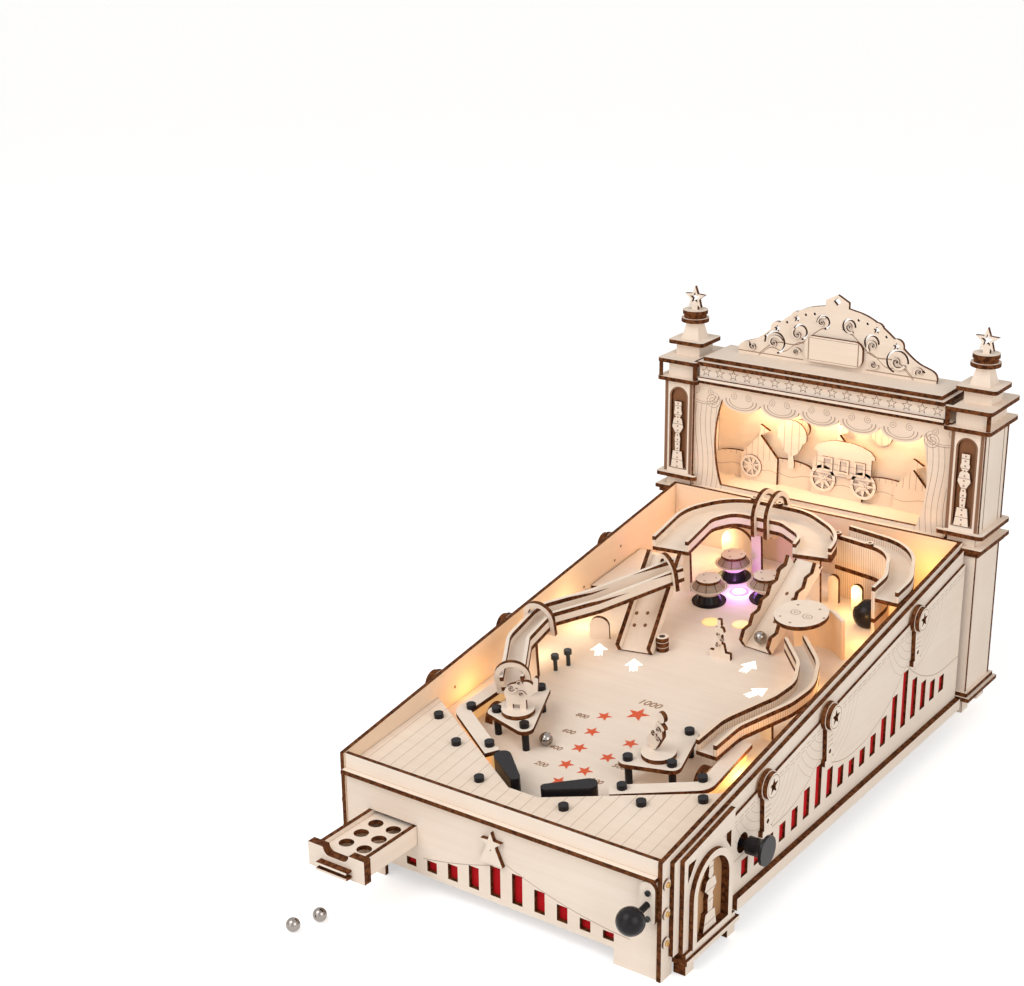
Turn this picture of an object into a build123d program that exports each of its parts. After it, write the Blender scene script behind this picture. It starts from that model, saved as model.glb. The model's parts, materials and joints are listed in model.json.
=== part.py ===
from build123d import *
import math
import os

os.makedirs("parts", exist_ok=True)

# Sheet stock, fits and cuts, in millimetres
ply = 3.0
card = 1.0
loose_gap = 0.3
run_gap = 0.06
overrun = 2.0

# Cabinet walls
cabinet_width = 235.0
cabinet_length = 402.0
wall_front_height = 78.0
wall_back_height = 140.0
skirt_height = 14.0
foot_length = 12.0
floor_height = 16.0

# Cladding, swag panel and corbels on the outside of each wall
cladding_setback = 8.0
cladding_drop = 4.0
swag_drop = 14.0
swag_foot = 22.0
panel_back_gap = 4.0
slot_width = 8.0
slot_foot = 29.2
slot_count = 19
slot_first = 86.5
slot_back_margin = 31.6
slot_low = 12.0
slot_climb_share = 0.0317
slot_peak_shares = (0.45, 0.764)
near_peak_rise = 18.0
near_peak_reach = 50.0
far_peak_rise = 30.0
far_peak_reach = 70.0
window_margin = 6.0
window_drop = 43.0
swag_sheet = 1.8
corbel_shares = (0.27, 0.47, 0.79)
corbel_drop = 4.0
corbel_height = 43.0
corbel_head_width = 12.0
corbel_foot_width = 8.0
corbel_step_width = 12.0
corbel_step_height = 4.0
corbel_hole_radius = 1.5
corbel_hole_height = 9.0
medal_radius = 9.5
medal_star_radius = 5.6

# Corner niche and its plinth
niche_start = 14.0
niche_width = 57.0
niche_drop = 6.0
niche_arch_width = 36.0
niche_arch_spring = 46.0
niche_moulding = 4.5
spandrel_margin = 4.0
spandrel_width = 9.0
spandrel_height = 12.0
plinth_height = 8.0
plinth_reach = 10.0
plinth_step = 2.0
foot_block_length = 9.0
rail_height = 8.0

# Front panel, ledge and top rail
panel_setback = 1.0
panel_raise = 11.0
front_foot_width = 29.0
ledge_height = 65.0
ledge_reach = 4.0
front_slot_width = 7.5
front_slot_foot = 15.0
front_slot_low = 19.0
front_slot_rise = 19.5
front_slot_first = -63.5
front_slot_last = 81.5
front_slot_count = 10
front_peak = 9.0
front_swag_reach = 100.0
front_star_radius = 8.0
front_star_height = 52.0
front_star_base_width = 17.0
front_star_base_foot = 38.5
plunger_plate_width = 10.4
plunger_plate_height = 29.0

# Playfield: a board that climbs towards the back
field_front_height = 55.5
field_tilt = 5.63
drain_front = 13.5
drain_depth = 18.0
drain_end = -66.0

# Plates, walls and bolts that stand on the playfield
apron_rise = 10.0
apron_side_share = 0.2438
apron_notch = 33.5
apron_notch_width = 22.0
amber_wall = 2.0
amber_inset = 3.0
amber_shares = (0.05, 0.86)
guide_width = 10.0
guide_bend = 8.0
guide_shares = ((0.37, 0.153), (0.775, 0.232), (0.75, 0.368))
chevron_shares = ((-0.965, 0.70), (-0.74, 0.72), (-0.72, 0.80), (-0.80, 0.87), (-0.965, 0.87))
sling_rise = 14.0
sling_round = 6.0
sling_shares = ((0.33, 0.225), (0.48, 0.335), (0.56, 0.243))
figure_disc_radius = 11.0
figure_disc_shares = (0.45, 0.258)
bolt_radius = 3.2
bolt_height = 3.2
sleeve_radius = 2.4
apron_bolt_shares = ((0.84, 0.195), (0.585, 0.143), (0.265, 0.077))
guide_bolt_shares = ((0.74, 0.244), (0.42, 0.166))

# Ramps
ramp_sheet = 1.5
ramp_rail = 3.0
ramp_climb = 32.0
main_ramp_width = 26.0
main_ramp_heading = 11.0
main_ramp_rail_height = 8.0
main_ramp_shares = (-0.38, 0.575)
slide_width = 22.0
slide_heading = -5.5
slide_shares = (0.24, 0.68)
slide_tooth = 6.5
slide_fence_high = 12.0
slide_fence_low = 8.5

# Tracks on posts: loop, orbit, winding track and descending rail
track_wall = 2.4
loop_rise = 45.0
loop_width = 28.0
loop_wall_height = 8.0
loop_bend = 28.0
loop_shares = ((-0.50, 0.757), (-0.545, 0.875), (-0.40, 0.94), (0.02, 0.94), (0.27, 0.895), (0.30, 0.845))
orbit_rise = 40.0
orbit_width = 17.0
orbit_bend = 36.0
orbit_shares = ((0.325, 0.955), (0.75, 0.935), (0.895, 0.83), (0.895, 0.775))
winding_rise = 16.0
winding_width = 15.0
winding_bend = 36.0
winding_shares = ((0.52, 0.66), (0.72, 0.595), (0.81, 0.53), (0.785, 0.47), (0.66, 0.37), (0.65, 0.30))
winding_wall_height = 8.0
rail_rise = 25.0
rail_climb = 7.3
rail_start_share = 0.286
rail_width = 16.0
rail_bend = 15.0
rail_wall_height = 8.0
rail_shares = ((-0.29, 0.40), (-0.57, 0.26), (-0.765, 0.19), (-0.75, 0.105), (-0.56, 0.005))
post_width = 8.0
loop_post_shares = ((-0.524, 0.82), (-0.25, 0.94), (0.255, 0.885))
winding_post_shares = ((0.77, 0.555), (0.745, 0.44), (0.655, 0.36))
rail_post_shares = ((-0.757, 0.14), (-0.64, 0.047))
hoop_band = 3.5
hoop_spring = 6.0
loop_hoop_shares = (0.486, 0.697)
rail_hoop_stretches = (0, 2, 3)
rail_hoop_shares = (0.12, 0.21, 0.92)

# Bumpers, domes, targets and hood
bumper_shares = ((-0.35, 0.905), (-0.325, 0.80), (-0.03, 0.856))
bumper_flange_radius = 12.5
bumper_base_radius = 10.0
bumper_base_top_radius = 7.0
bumper_base_height = 6.5
bumper_dish_radius = 14.0
bumper_dish_height = 5.5
bumper_neck_foot_radius = 12.0
bumper_neck_radius = 8.0
bumper_neck_height = 5.0
bumper_top_radius = 9.2
bumper_top_sheet = 2.0
dome_radius = 10.5
dome_cut_angle = 50.0
dome_shares = ((0.017, 0.918), (0.655, 0.853))
lane_post_shares = ((0.353, 0.90), (0.535, 0.885))
lane_post_width = 8.0
lane_post_height = 22.0
sign_shares = (-0.66, 0.59)
sign_width = 14.0
sign_height = 17.0
half_arch_radius = 10.0
drum_radius = 13.0
drum_shares = (-0.45, 0.972)
half_arch_shares = (0.67, 0.285)
hood_rise = 30.0
hood_shares = (0.49, 0.70)
hood_length = 36.0
hood_width = 40.0
hood_wall_shares = ((0.41, 0.715), (0.56, 0.757), (0.72, 0.72))
hood_wall_bend = 14.0

# Cut figures: heads, bodies and stands
niche_figure_height = 44.0
pillar_figure_share = 0.93
pillar_figure_slim_share = 0.6
figure_shares = ((0.17, 0.0), (0.12, 0.25), (0.06, 0.26), (0.075, 0.45), (0.05, 0.52),
                 (0.15, 0.62), (0.11, 0.74), (0.045, 0.77))
figure_head_share = 0.065
figure_head_place_share = 0.83
figure_hat_share = 0.055
play_figure_height = 30.0
play_figure_turn = 20.0
seal_shares = ((-0.16, 0.16, 0.16), (0.08, 0.45, 0.12), (0.10, 0.66, 0.10), (0.22, 0.64, 0.05))
seal_ball_shares = (0.16, 0.88, 0.12)
elephant_shares = ((-0.02, 0.36, 0.25), (0.24, 0.52, 0.17), (0.42, 0.50, 0.06), (0.46, 0.76, 0.05))
elephant_leg_shares = (-0.17, 0.13)
elephant_leg_share = 0.14
stand_shares = (0.09, 0.63)
stand_width = 16.0
stand_height = 5.0

# Ball and its lanes
ball_radius = 4.5
loose_ball_shares = ((-0.771, -0.198), (-0.72, -0.1545))
sling_ball_shares = (-0.26, 0.252)
ramp_ball_share = 0.74
slide_ball_share = 0.10
lane_room = 11.0
lane_start = 88.0
lane_end = 300.0
lane_stop = 3.0
trough_start = 14.0
trough_end = -53.0
trough_front = 10.0
trough_depth = 25.0
trough_high = 7.5
trough_low = 10.5
trough_lip = 2.0

# Flippers, cranks, push rods and side buttons
pivot_across = 32.0
pivot_along = 57.0
bat_length = 26.0
bat_root_radius = 5.5
bat_tip_radius = 3.2
bat_height = 15.5
bat_droop = 37.5
flipper_swing = 50.0
shaft_radius = 3.0
under_gap = 0.4
crank_radius = 10.0
crank_eye_radius = 6.0
pin_radius = 1.5
pin_slack = 0.3
pin_length = 5.4
rod_depth = 8.9
rod_margin = 3.5
rod_width = 11.0
rod_tip = 30.0
rod_tab = 6.8
stem_place = 82.4
stem_radius = 2.5
stem_inset = 12.5
stem_kerf = 0.5
tab_inset = 2.0
nose_radius = 1.25
nose_length = 19.0
knob_radius = 9.4
knob_bell_reach = 14.9
knob_reach = 22.0
knob_neck_reach = 9.0
knob_neck_radius = 5.6
knob_neck_gap = 0.9
knob_rim = 2.0
bell_shares = (0.55, 0.42)
return_spring_length = 14.0
return_spring_radius = 2.6
return_spring_wire = 0.8
return_spring_turns = 5
block_width = 12.0
block_depth = 14.0

# Ball plunger
plunger_inset = 8.5
plunger_depth = 5.5
plunger_rod_radius = 2.0
plunger_tip = 93.0
plunger_knob_radius = 8.5
plunger_knob_place = -20.0
plunger_collar_radius = 3.6
plunger_collar_start = 36.0
plunger_collar_width = 2.4
plunger_spring_radius = 3.0
plunger_spring_wire = 0.8
plunger_spring_turns = 8

# Ball drawer, shown pulled out
drawer_inset = 40.0
drawer_foot = 30.0
drawer_width = 44.0
drawer_height = 16.0
drawer_pull = 48.0
drawer_scoop_width = 20.0
drawer_scoop_depth = 5.0
drawer_handle_width = 24.0
drawer_handle_reach = 5.0
tray_width = 38.0
tray_length = 76.0
tray_rise = 1.2
tray_side_height = 10.0
tray_shelf_height = 4.0
tray_hole_radius = 4.8
tray_hole_pitch = 14.0
tray_hole_columns = 2
tray_hole_rows = 3
tray_hole_lead = 12.0

# Battery box, sound board and switch
battery_width = 68.0
battery_depth = 38.0
battery_height = 20.0
battery_wall = 2.0
battery_back = 72.0
board_width = 60.0
board_depth = 42.0
board_sheet = 1.6
board_back = 162.0
standoff = 5.0
standoff_radius = 2.5
speaker_radius = 18.0
speaker_height = 9.0
switch_place = 40.0
switch_height = 60.0
switch_width = 4.0
switch_tall = 3.4
switch_travel = 3.0
switch_reach = 2.5
switch_case_depth = 6.0
switch_case_width = 15.0

# Back box: pillars, plates, stage and pediment
pillar_place = 115.3
pillar_width = 24.6
pillar_depth = 44.0
plate_overhang = 5.0
plate_lip = 4.1
plate_round = 3.0
pillar_ground = 8.0
pillar_foot_height = 12.0
belt_drop = 9.0
neck_height = 7.6
upper_shaft_height = 73.3
bracket_height = 11.1
cap_box_height = 9.0
pillar_notch_height = 6.0
pillar_notch_length = 16.0
rear_foot_width = 10.5
rear_foot_length = 19.0
neck_inset = 2.0
baluster_radius = 1.5
cap_box_width = 20.0
taper_base_width = 15.0
taper_top_width = 9.0
taper_height = 13.0
disc_radius = 10.5
disc_step = 2.0
pillar_arch_width = 13.0
pillar_arch_margin = 4.4
pillar_arch_drop = 12.0
finial_star_radius = 9.0
finial_stem_width = 5.0
finial_height = 18.0
stage_setback = 4.0
stage_lift = 1.1
opening_width = 160.0
opening_pinch = 6.0
opening_sill = 3.0
valance_drop = 10.0
valance_lobes = 5
valance_lobe_depth = 8.5
fascia_height = 12.0
lath_height = 2.0
lath_reach = 2.4
cornice_half_width = 97.6
pediment_half_width = 79.0
pediment_height = 54.0
pediment_depth = 25.0
pediment_shares = ((1.0, 0.0), (0.985, 0.13), (0.86, 0.21), (0.70, 0.36), (0.48, 0.62), (0.22, 0.80),
                   (0.115, 0.83), (0.115, 0.91))
pediment_apex_share = 1.0
pediment_dot_radius = 1.0
pediment_star_radius = 3.0
pediment_lobe_radius = 5.4
pediment_star_shares = ((0.60, 0.42), (0.40, 0.60))
pediment_dot_shares = ((0.88, 0.14), (0.72, 0.29), (0.50, 0.53), (0.31, 0.67), (0.22, 0.70))
scroll_slot = 1.4
scroll_places_shares = ((0.62, 0.22, 0.15), (0.36, 0.42, 0.10), (0.13, 0.60, 0.09))
scroll_arc = 250.0
diamond_share = 0.055
cartouche_width = 46.0
cartouche_height = 19.0
cartouche_foot = 3.0
hill_height = 16.0
hill_wave = 5.0
hill_wave_count = 5
tent_shares = ((-0.62, 0.30, 0.46), (0.02, 0.40, 0.60), (0.60, 0.26, 0.40))
tent_roof_share = 0.45
pennant_share = 0.10
balloon_shares = ((-0.30, 0.58, 0.085), (0.34, 0.66, 0.10))

# Worked-out reaches and the frame
half_width = cabinet_width / 2
inner_half = half_width - ply
fit_half = inner_half - loose_gap
apron_side = apron_side_share * cabinet_length
lane_left = fit_half - lane_room
stem_inner = half_width - stem_inset
knob_start = half_width + knob_bell_reach
knob_end = half_width + knob_reach
knob_neck_start = half_width + knob_neck_reach
plunger_place = half_width - plunger_inset
drawer_centre = drawer_inset - half_width
battery_place = cabinet_length - battery_back
board_place = cabinet_length - board_back
wall_slope = (wall_back_height - wall_front_height) / cabinet_length
front_reach = ball_radius - min(v for u, v in loose_ball_shares) * cabinet_length
back_reach = cabinet_length + pillar_depth + plate_lip
wall_front = (front_reach - back_reach) / 2
panel_back = panel_setback + ply
tilt_cos = math.cos(math.radians(field_tilt))
tilt_sin = math.sin(math.radians(field_tilt))
board_front = (panel_back + loose_gap) / tilt_cos
board_back = (cabinet_length - ply - loose_gap - ply * tilt_sin) / tilt_cos

lower_shaft_height = wall_back_height - belt_drop - pillar_ground - pillar_foot_height - 2 * ply
pillar_layers = (pillar_foot_height, ply, ply, lower_shaft_height, ply, ply, neck_height, ply,
                 upper_shaft_height, ply, bracket_height, ply, cap_box_height, ply)
pillar_heights = [pillar_ground + sum(pillar_layers[:number]) for number in range(len(pillar_layers) + 1)]
pillar_arch_foot = pillar_heights[8] + pillar_arch_margin
pillar_arch_spring = pillar_heights[9] - pillar_arch_drop
pillar_figure_height = pillar_figure_share * (pillar_arch_spring - pillar_arch_foot)
stage_height = wall_back_height
stage_ceiling = pillar_heights[9] + stage_lift
valance_height = stage_ceiling - valance_drop

table = Plane(origin=(0, wall_front, 0))
front = Plane(origin=(0, wall_front, 0), x_dir=(1, 0, 0), z_dir=(0, -1, 0))
side = Plane(origin=(0, wall_front, 0), x_dir=(0, 1, 0), z_dir=(1, 0, 0))
field = Plane(origin=(0, wall_front, field_front_height), x_dir=(1, 0, 0), z_dir=(0, -tilt_sin, tilt_cos))
tray_half = tray_width / 2 + loose_gap
tray_foot = drawer_foot + tray_rise
field_side = Plane(origin=field.origin, x_dir=field.y_dir, z_dir=field.x_dir)


def write(piece, label):
    """Label a finished piece and write it as one file."""
    piece.part.label = label
    export_step(piece.part, f"parts/{label}.step")


def wall_top(place):
    """Height of the wall's sloping top edge at a distance from the front."""
    return wall_front_height + wall_slope * place


def spot(shares):
    """Place on the playfield from shares of the half width and the length."""
    return (shares[0] * half_width, shares[1] * cabinet_length)


def mirrored(shares):
    """A table of places followed by its mirror image."""
    return [spot(pair) for pair in shares] + [spot((-u, v)) for u, v in shares]


def on(plane, u, v, w=0, heading=0, climb=0):
    """Plane that starts at a place on another plane, turned about its normal and then pitched up."""
    return Plane(plane.location * Pos(u, v, w) * Rot(0, 0, heading) * Rot(climb, 0, 0))


def side_spot(v, w):
    """Playfield distance and height given as a place on a side wall."""
    return (v * tilt_cos - w * tilt_sin, field_front_height + v * tilt_sin + w * tilt_cos)


def star(radius, mode=Mode.ADD):
    """Five-pointed star on one point of its circle of the given radius."""
    inner_share = 0.42
    points = []
    for corner in range(10):
        reach = radius * (inner_share if corner % 2 else 1)
        turn = math.radians(90 + 36 * corner)
        points.append((reach * math.cos(turn), reach * math.sin(turn)))
    Polygon(*points, align=None, mode=mode)


def arch(centre, width, foot, spring, mode=Mode.ADD):
    """Round-headed opening or plate between a foot and the height where its arc springs."""
    with Locations((centre, (foot + spring) / 2)):
        Rectangle(width, spring - foot, mode=mode)
    with Locations((centre, spring)):
        Circle(width / 2, mode=mode)


def bar(low, high, foot, top, mode=Mode.ADD):
    """Rectangle given by its four sides."""
    with Locations(((low + high) / 2, (foot + top) / 2)):
        Rectangle(high - low, top - foot, mode=mode)


def statue(centre, foot, height, slim_share=1):
    """Plain standing figure on a tapered stand, cut as one outline."""
    breadth = height * slim_share
    right_half = [(centre + x * breadth, foot + y * height) for x, y in figure_shares]
    left_half = [(centre - x * breadth, foot + y * height) for x, y in reversed(figure_shares)]
    Polygon(*right_half, *left_half, align=None)
    head = foot + figure_head_place_share * height
    with Locations((centre, head)):
        Circle(figure_head_share * height)
    bar(centre - figure_hat_share * height, centre + figure_hat_share * height, head, foot + height)


def track(plane, points, bend, sections):
    """Strips of (offset, foot, width, height) carried along a bent route on a plane."""
    with BuildPart() as run:
        with BuildLine(plane) as route:
            if len(points) > 2:
                FilletPolyline(*points, radius=bend)
            else:
                Line(*points)
        ahead = route.line % 0
        with BuildSketch(Plane(origin=route.line @ 0, x_dir=plane.z_dir.cross(ahead), z_dir=ahead)):
            for offset_across, foot, width, height in sections:
                with Locations((offset_across, foot + height / 2)):
                    Rectangle(width, height)
        sweep(path=route.line)
    return run.part


def floor_strip(width):
    """Section of a track's floor, with its top on the route."""
    return [(0, -ply, width, ply)]


def wall_strips(width, height):
    """Sections of the two walls that stand on a track's floor."""
    across = (width - track_wall) / 2
    return [(-across, 0, track_wall, height), (across, 0, track_wall, height)]


def coil(plane, radius, wire, turns, length):
    """Compression spring along a plane's normal, one tube on arcs of a quarter turn."""
    steps = 4 * turns
    rise = (length - wire) / steps
    points = []
    for step in range(steps + 1):
        turn = math.radians(90 * step)
        points.append((radius * math.cos(turn), radius * math.sin(turn), wire / 2 + rise * step))
    heading = (plane.y_dir * (radius * math.pi / 2) + plane.z_dir * rise).normalized()
    with BuildPart() as spring:
        with BuildLine(plane) as route:
            for start, end in zip(points, points[1:]):
                arc = TangentArc(start, end, tangent=heading)
                heading = arc % 1
        with BuildSketch(Plane(origin=route.line @ 0, z_dir=route.line % 0)):
            Circle(wire / 2)
        sweep(path=route.line)
    samples_per_turn = 24
    count = samples_per_turn * turns
    samples = [route.line @ (number / count) for number in range(count + 1)]
    nearest = min((samples[later] - samples[earlier]).length
                  for earlier in range(count)
                  for later in range(earlier + samples_per_turn * 3 // 4, count + 1))
    print("least gap between turns", round(nearest - wire, 2), "mm over", turns, "turns")
    return spring.part


# Cabinet: floor, walls and what clads them
stem_centre = side_spot(stem_place, -rod_depth - ply / 2)
swag_end = cabinet_length - panel_back_gap
niche_end = niche_start + niche_width
slot_last = cabinet_length - slot_back_margin
slot_pitch = (slot_last - slot_first) / (slot_count - 1)
cladding_face = half_width + ply
swag_face = cladding_face + swag_sheet
frame_face = cladding_face + ply
corbel_places = [share * cabinet_length for share in corbel_shares]


def slot_base(place):
    """Foot of a side slot, on a line that climbs a little towards the back."""
    return slot_foot + slot_climb_share * (place - slot_first)


def slot_top(place):
    """Top of a side slot, on the hems of the swags that rise to two peaks."""
    near_share, far_share = slot_peak_shares
    near_fall = max(0, 1 - abs(place - near_share * cabinet_length) / near_peak_reach)
    far_fall = max(0, 1 - abs(place - far_share * cabinet_length) / far_peak_reach)
    hem = max(near_peak_rise * near_fall ** 2, far_peak_rise * far_fall ** 2)
    return slot_base(place) + slot_low + hem


def window_points(inset):
    """Outline of the window in the cladding behind the slots."""
    near = slot_first - slot_width / 2 - window_margin + inset
    far = slot_last + slot_width / 2 + window_margin - inset
    foot = slot_foot - window_margin / 2 + inset
    near_top = min(wall_top(near) - window_drop, stem_centre[1] - knob_neck_radius - knob_neck_gap - ply)
    return [(near, foot), (far, foot), (far, wall_top(far) - window_drop - inset), (near, near_top - inset)]


with BuildPart() as base_floor:
    with BuildSketch(table.offset(floor_height)):
        bar(-fit_half, fit_half, panel_back + card + loose_gap, cabinet_length - ply - loose_gap)
        with Locations((0, battery_place)):
            Rectangle(battery_width - 2 * battery_wall, battery_depth - 2 * battery_wall, mode=Mode.SUBTRACT)
    extrude(amount=ply)

with BuildPart() as side_walls:
    with BuildSketch(side.offset(inner_half)):
        with BuildLine():
            Polyline((0, 0), (foot_length, 0), (foot_length, skirt_height), (cabinet_length, skirt_height),
                     (cabinet_length, wall_back_height), (0, wall_front_height), close=True)
        make_face()
        with Locations(stem_centre):
            Circle(stem_radius + run_gap, mode=Mode.SUBTRACT)
    extrude(amount=ply)
    mirror(about=Plane.YZ)

with BuildPart() as side_claddings:
    with BuildSketch(side.offset(half_width)):
        with BuildLine():
            Polyline((cladding_setback, skirt_height), (swag_end, skirt_height),
                     (swag_end, wall_top(swag_end) - cladding_drop),
                     (cladding_setback, wall_top(cladding_setback) - cladding_drop), close=True)
        make_face()
        Polygon(*window_points(0), align=None, mode=Mode.SUBTRACT)
        with Locations(stem_centre):
            Circle(knob_neck_radius + knob_neck_gap, mode=Mode.SUBTRACT)
    extrude(amount=ply)
    mirror(about=Plane.YZ)

with BuildPart() as side_swag_panels:
    with BuildSketch(side.offset(cladding_face)):
        with BuildLine():
            Polyline((niche_end + loose_gap, swag_foot), (swag_end, swag_foot),
                     (swag_end, wall_top(swag_end) - swag_drop),
                     (niche_end + loose_gap, wall_top(niche_end) - swag_drop), close=True)
        make_face()
        for slot in range(slot_count):
            place = slot_first + slot * slot_pitch
            bar(place - slot_width / 2, place + slot_width / 2, slot_base(place), slot_top(place), Mode.SUBTRACT)
        with Locations(stem_centre):
            Circle(knob_neck_radius + knob_neck_gap, mode=Mode.SUBTRACT)
    extrude(amount=swag_sheet)
    mirror(about=Plane.YZ)

with BuildPart() as red_liners:
    with BuildSketch(side.offset(cladding_face - card)):
        Polygon(*window_points(loose_gap), align=None)
    extrude(amount=card)
    mirror(about=Plane.YZ)
    with BuildSketch(front.offset(-panel_back - card)):
        bar(front_slot_first - front_slot_width, front_slot_last + front_slot_width,
            panel_raise, front_slot_low + front_slot_rise + front_slot_width)
        bar(drawer_centre - tray_half - ply - loose_gap, drawer_centre + tray_half + ply + loose_gap,
            tray_foot - ply - loose_gap, drawer_foot + drawer_height + loose_gap, Mode.SUBTRACT)
    extrude(amount=card)

with BuildPart() as side_corbels:
    for place in corbel_places:
        head = wall_top(place) - corbel_drop - medal_radius
        corbel_foot = wall_top(place) - corbel_drop - corbel_height
        with BuildSketch(side.offset(swag_face)):
            with Locations((place, head)):
                Circle(medal_radius)
            Polygon((place - corbel_head_width / 2, head), (place - corbel_foot_width / 2, corbel_foot),
                    (place + corbel_foot_width / 2, corbel_foot), (place + corbel_head_width / 2, head),
                    align=None)
            bar(place - corbel_step_width / 2, place + corbel_step_width / 2, corbel_foot,
                corbel_foot + corbel_step_height)
            with Locations((place, corbel_foot + corbel_hole_height)):
                Circle(corbel_hole_radius, mode=Mode.SUBTRACT)
        extrude(amount=ply)
        with BuildSketch(side.offset(swag_face + ply)):
            with Locations((place, head)):
                Circle(medal_radius - card)
                star(medal_star_radius, Mode.SUBTRACT)
        extrude(amount=ply)
    mirror(about=Plane.YZ)

with BuildPart() as base_rails:
    with BuildSketch(side.offset(cladding_face)):
        bar(niche_end + loose_gap, swag_end, skirt_height, skirt_height + rail_height)
    extrude(amount=2 * ply)
    with BuildSketch(table.offset(plinth_height)):
        bar(half_width, half_width + plinth_reach, niche_start - plinth_step, niche_end + plinth_step)
    extrude(amount=ply)
    with BuildSketch(table.offset(plinth_height + ply)):
        bar(half_width, half_width + plinth_reach - plinth_step, niche_start, niche_end)
    extrude(amount=skirt_height - plinth_height - ply)
    with BuildSketch(table):
        for place in (niche_start, niche_end - foot_block_length):
            bar(half_width, half_width + plinth_reach - plinth_step, place, place + foot_block_length)
    extrude(amount=plinth_height)
    mirror(about=Plane.YZ)

niche_centre = niche_start + niche_width / 2
niche_sill = skirt_height + ply

with BuildPart() as niche_frames:
    with BuildSketch(side.offset(cladding_face)):
        with BuildLine():
            Polyline((niche_start, skirt_height), (niche_end, skirt_height),
                     (niche_end, wall_top(niche_end) - niche_drop),
                     (niche_start, wall_top(niche_start) - niche_drop), close=True)
        make_face()
        arch(niche_centre, niche_arch_width, niche_sill, niche_arch_spring, Mode.SUBTRACT)
        for corner, inward in ((niche_start + spandrel_margin, 1), (niche_end - spandrel_margin, -1)):
            rim = wall_top(niche_start) - niche_drop - spandrel_margin
            Polygon((corner, rim), (corner, rim - spandrel_height), (corner + inward * spandrel_width, rim),
                    align=None, mode=Mode.SUBTRACT)
    extrude(amount=ply)
    with BuildSketch(side.offset(frame_face)):
        arch(niche_centre, niche_arch_width + 2 * niche_moulding, skirt_height, niche_arch_spring)
        arch(niche_centre, niche_arch_width, niche_sill, niche_arch_spring, Mode.SUBTRACT)
    extrude(amount=ply)
    mirror(about=Plane.YZ)

pillar_arch_place = -cabinet_length - ply

with BuildPart() as niche_backs:
    with BuildSketch(side.offset(cladding_face)):
        arch(niche_centre, niche_arch_width - 2 * loose_gap, niche_sill, niche_arch_spring)
    extrude(amount=card)
    with BuildSketch(front.offset(pillar_arch_place)):
        arch(pillar_place, pillar_arch_width - 2 * loose_gap, pillar_arch_foot, pillar_arch_spring)
    extrude(amount=card)
    mirror(about=Plane.YZ)

with BuildPart() as niche_figures:
    with BuildSketch(side.offset(cladding_face + card)):
        statue(niche_centre, niche_sill, niche_figure_height)
    extrude(amount=ply)
    with BuildSketch(front.offset(pillar_arch_place + card)):
        statue(pillar_place, pillar_arch_foot, pillar_figure_height, pillar_figure_slim_share)
    extrude(amount=ply)
    mirror(about=Plane.YZ)

# Front: panel with slots and drawer opening, rail, ledge and plunger plate
plunger_axis = Plane(origin=(field * Pos(plunger_place, 0, -plunger_depth)).position,
                     x_dir=(1, 0, 0), z_dir=-field.y_dir)
front_slot_pitch = (front_slot_last - front_slot_first) / (front_slot_count - 1)

with BuildPart() as front_panel:
    with BuildSketch(front.offset(-panel_back)):
        bar(-fit_half, fit_half, 0, ledge_height)
        bar(-fit_half + front_foot_width, fit_half - front_foot_width, 0, panel_raise, Mode.SUBTRACT)
        for slot in range(front_slot_count):
            place = front_slot_first + slot * front_slot_pitch
            fall_share = max(0, 1 - abs(place - front_peak) / front_swag_reach)
            bar(place - front_slot_width / 2, place + front_slot_width / 2, front_slot_foot,
                front_slot_low + front_slot_rise * fall_share ** 2, Mode.SUBTRACT)
        bar(drawer_centre - tray_half, drawer_centre + tray_half, tray_foot - loose_gap,
            tray_foot + ply + tray_side_height + loose_gap, Mode.SUBTRACT)
    extrude(amount=ply)
    with BuildSketch(plunger_axis):
        Circle(plunger_rod_radius + run_gap)
    extrude(amount=panel_back + overrun, both=True, mode=Mode.SUBTRACT)

plate_centre = side_spot(0, -plunger_depth)[1]

with BuildPart() as front_trim:
    with BuildSketch(front.offset(-panel_back)):
        bar(-fit_half, fit_half, ledge_height + ply, wall_front_height)
    extrude(amount=ply)
    with BuildSketch(table.offset(ledge_height)):
        bar(-fit_half, fit_half, panel_back - ply - ledge_reach, panel_back)
    extrude(amount=ply)
    with BuildSketch(front.offset(-panel_setback)):
        with Locations((plunger_place, plate_centre)):
            SlotOverall(plunger_plate_height, plunger_plate_width, rotation=90)
    extrude(amount=ply)
    with BuildSketch(plunger_axis):
        Circle(plunger_rod_radius + run_gap)
    extrude(amount=panel_back + overrun, both=True, mode=Mode.SUBTRACT)

with BuildPart() as back_panel:
    with BuildSketch(front.offset(-cabinet_length)):
        bar(-fit_half, fit_half, floor_height + ply, wall_back_height)
        bar(switch_place - switch_width / 2 - loose_gap,
            switch_place + switch_width / 2 + switch_travel + loose_gap,
            switch_height - switch_tall / 2 - loose_gap, switch_height + switch_tall / 2 + loose_gap,
            Mode.SUBTRACT)
    extrude(amount=ply)

# Playfield and the plates that stand on it
pivot = (pivot_across, pivot_along)
field_bolts = mirrored(apron_bolt_shares) + mirrored(guide_bolt_shares)
apron_front = (panel_back + loose_gap + (apron_rise + ply) * tilt_sin) / tilt_cos
apron_corner = (fit_half, apron_side)
apron_tip = (apron_notch_width / 2, apron_notch)

with BuildPart() as playfield:
    with BuildSketch(field.offset(-ply)):
        with BuildLine():
            Polyline((-fit_half, board_front), (lane_left, board_front), (lane_left, lane_end),
                     (fit_half, lane_end), (fit_half, board_back), (-fit_half, board_back), close=True)
        make_face()
        with Locations(pivot, (-pivot_across, pivot_along)):
            Circle(shaft_radius + run_gap, mode=Mode.SUBTRACT)
        bar(drain_end, trough_start, drain_front, drain_front + drain_depth, Mode.SUBTRACT)
    extrude(amount=ply)

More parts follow.
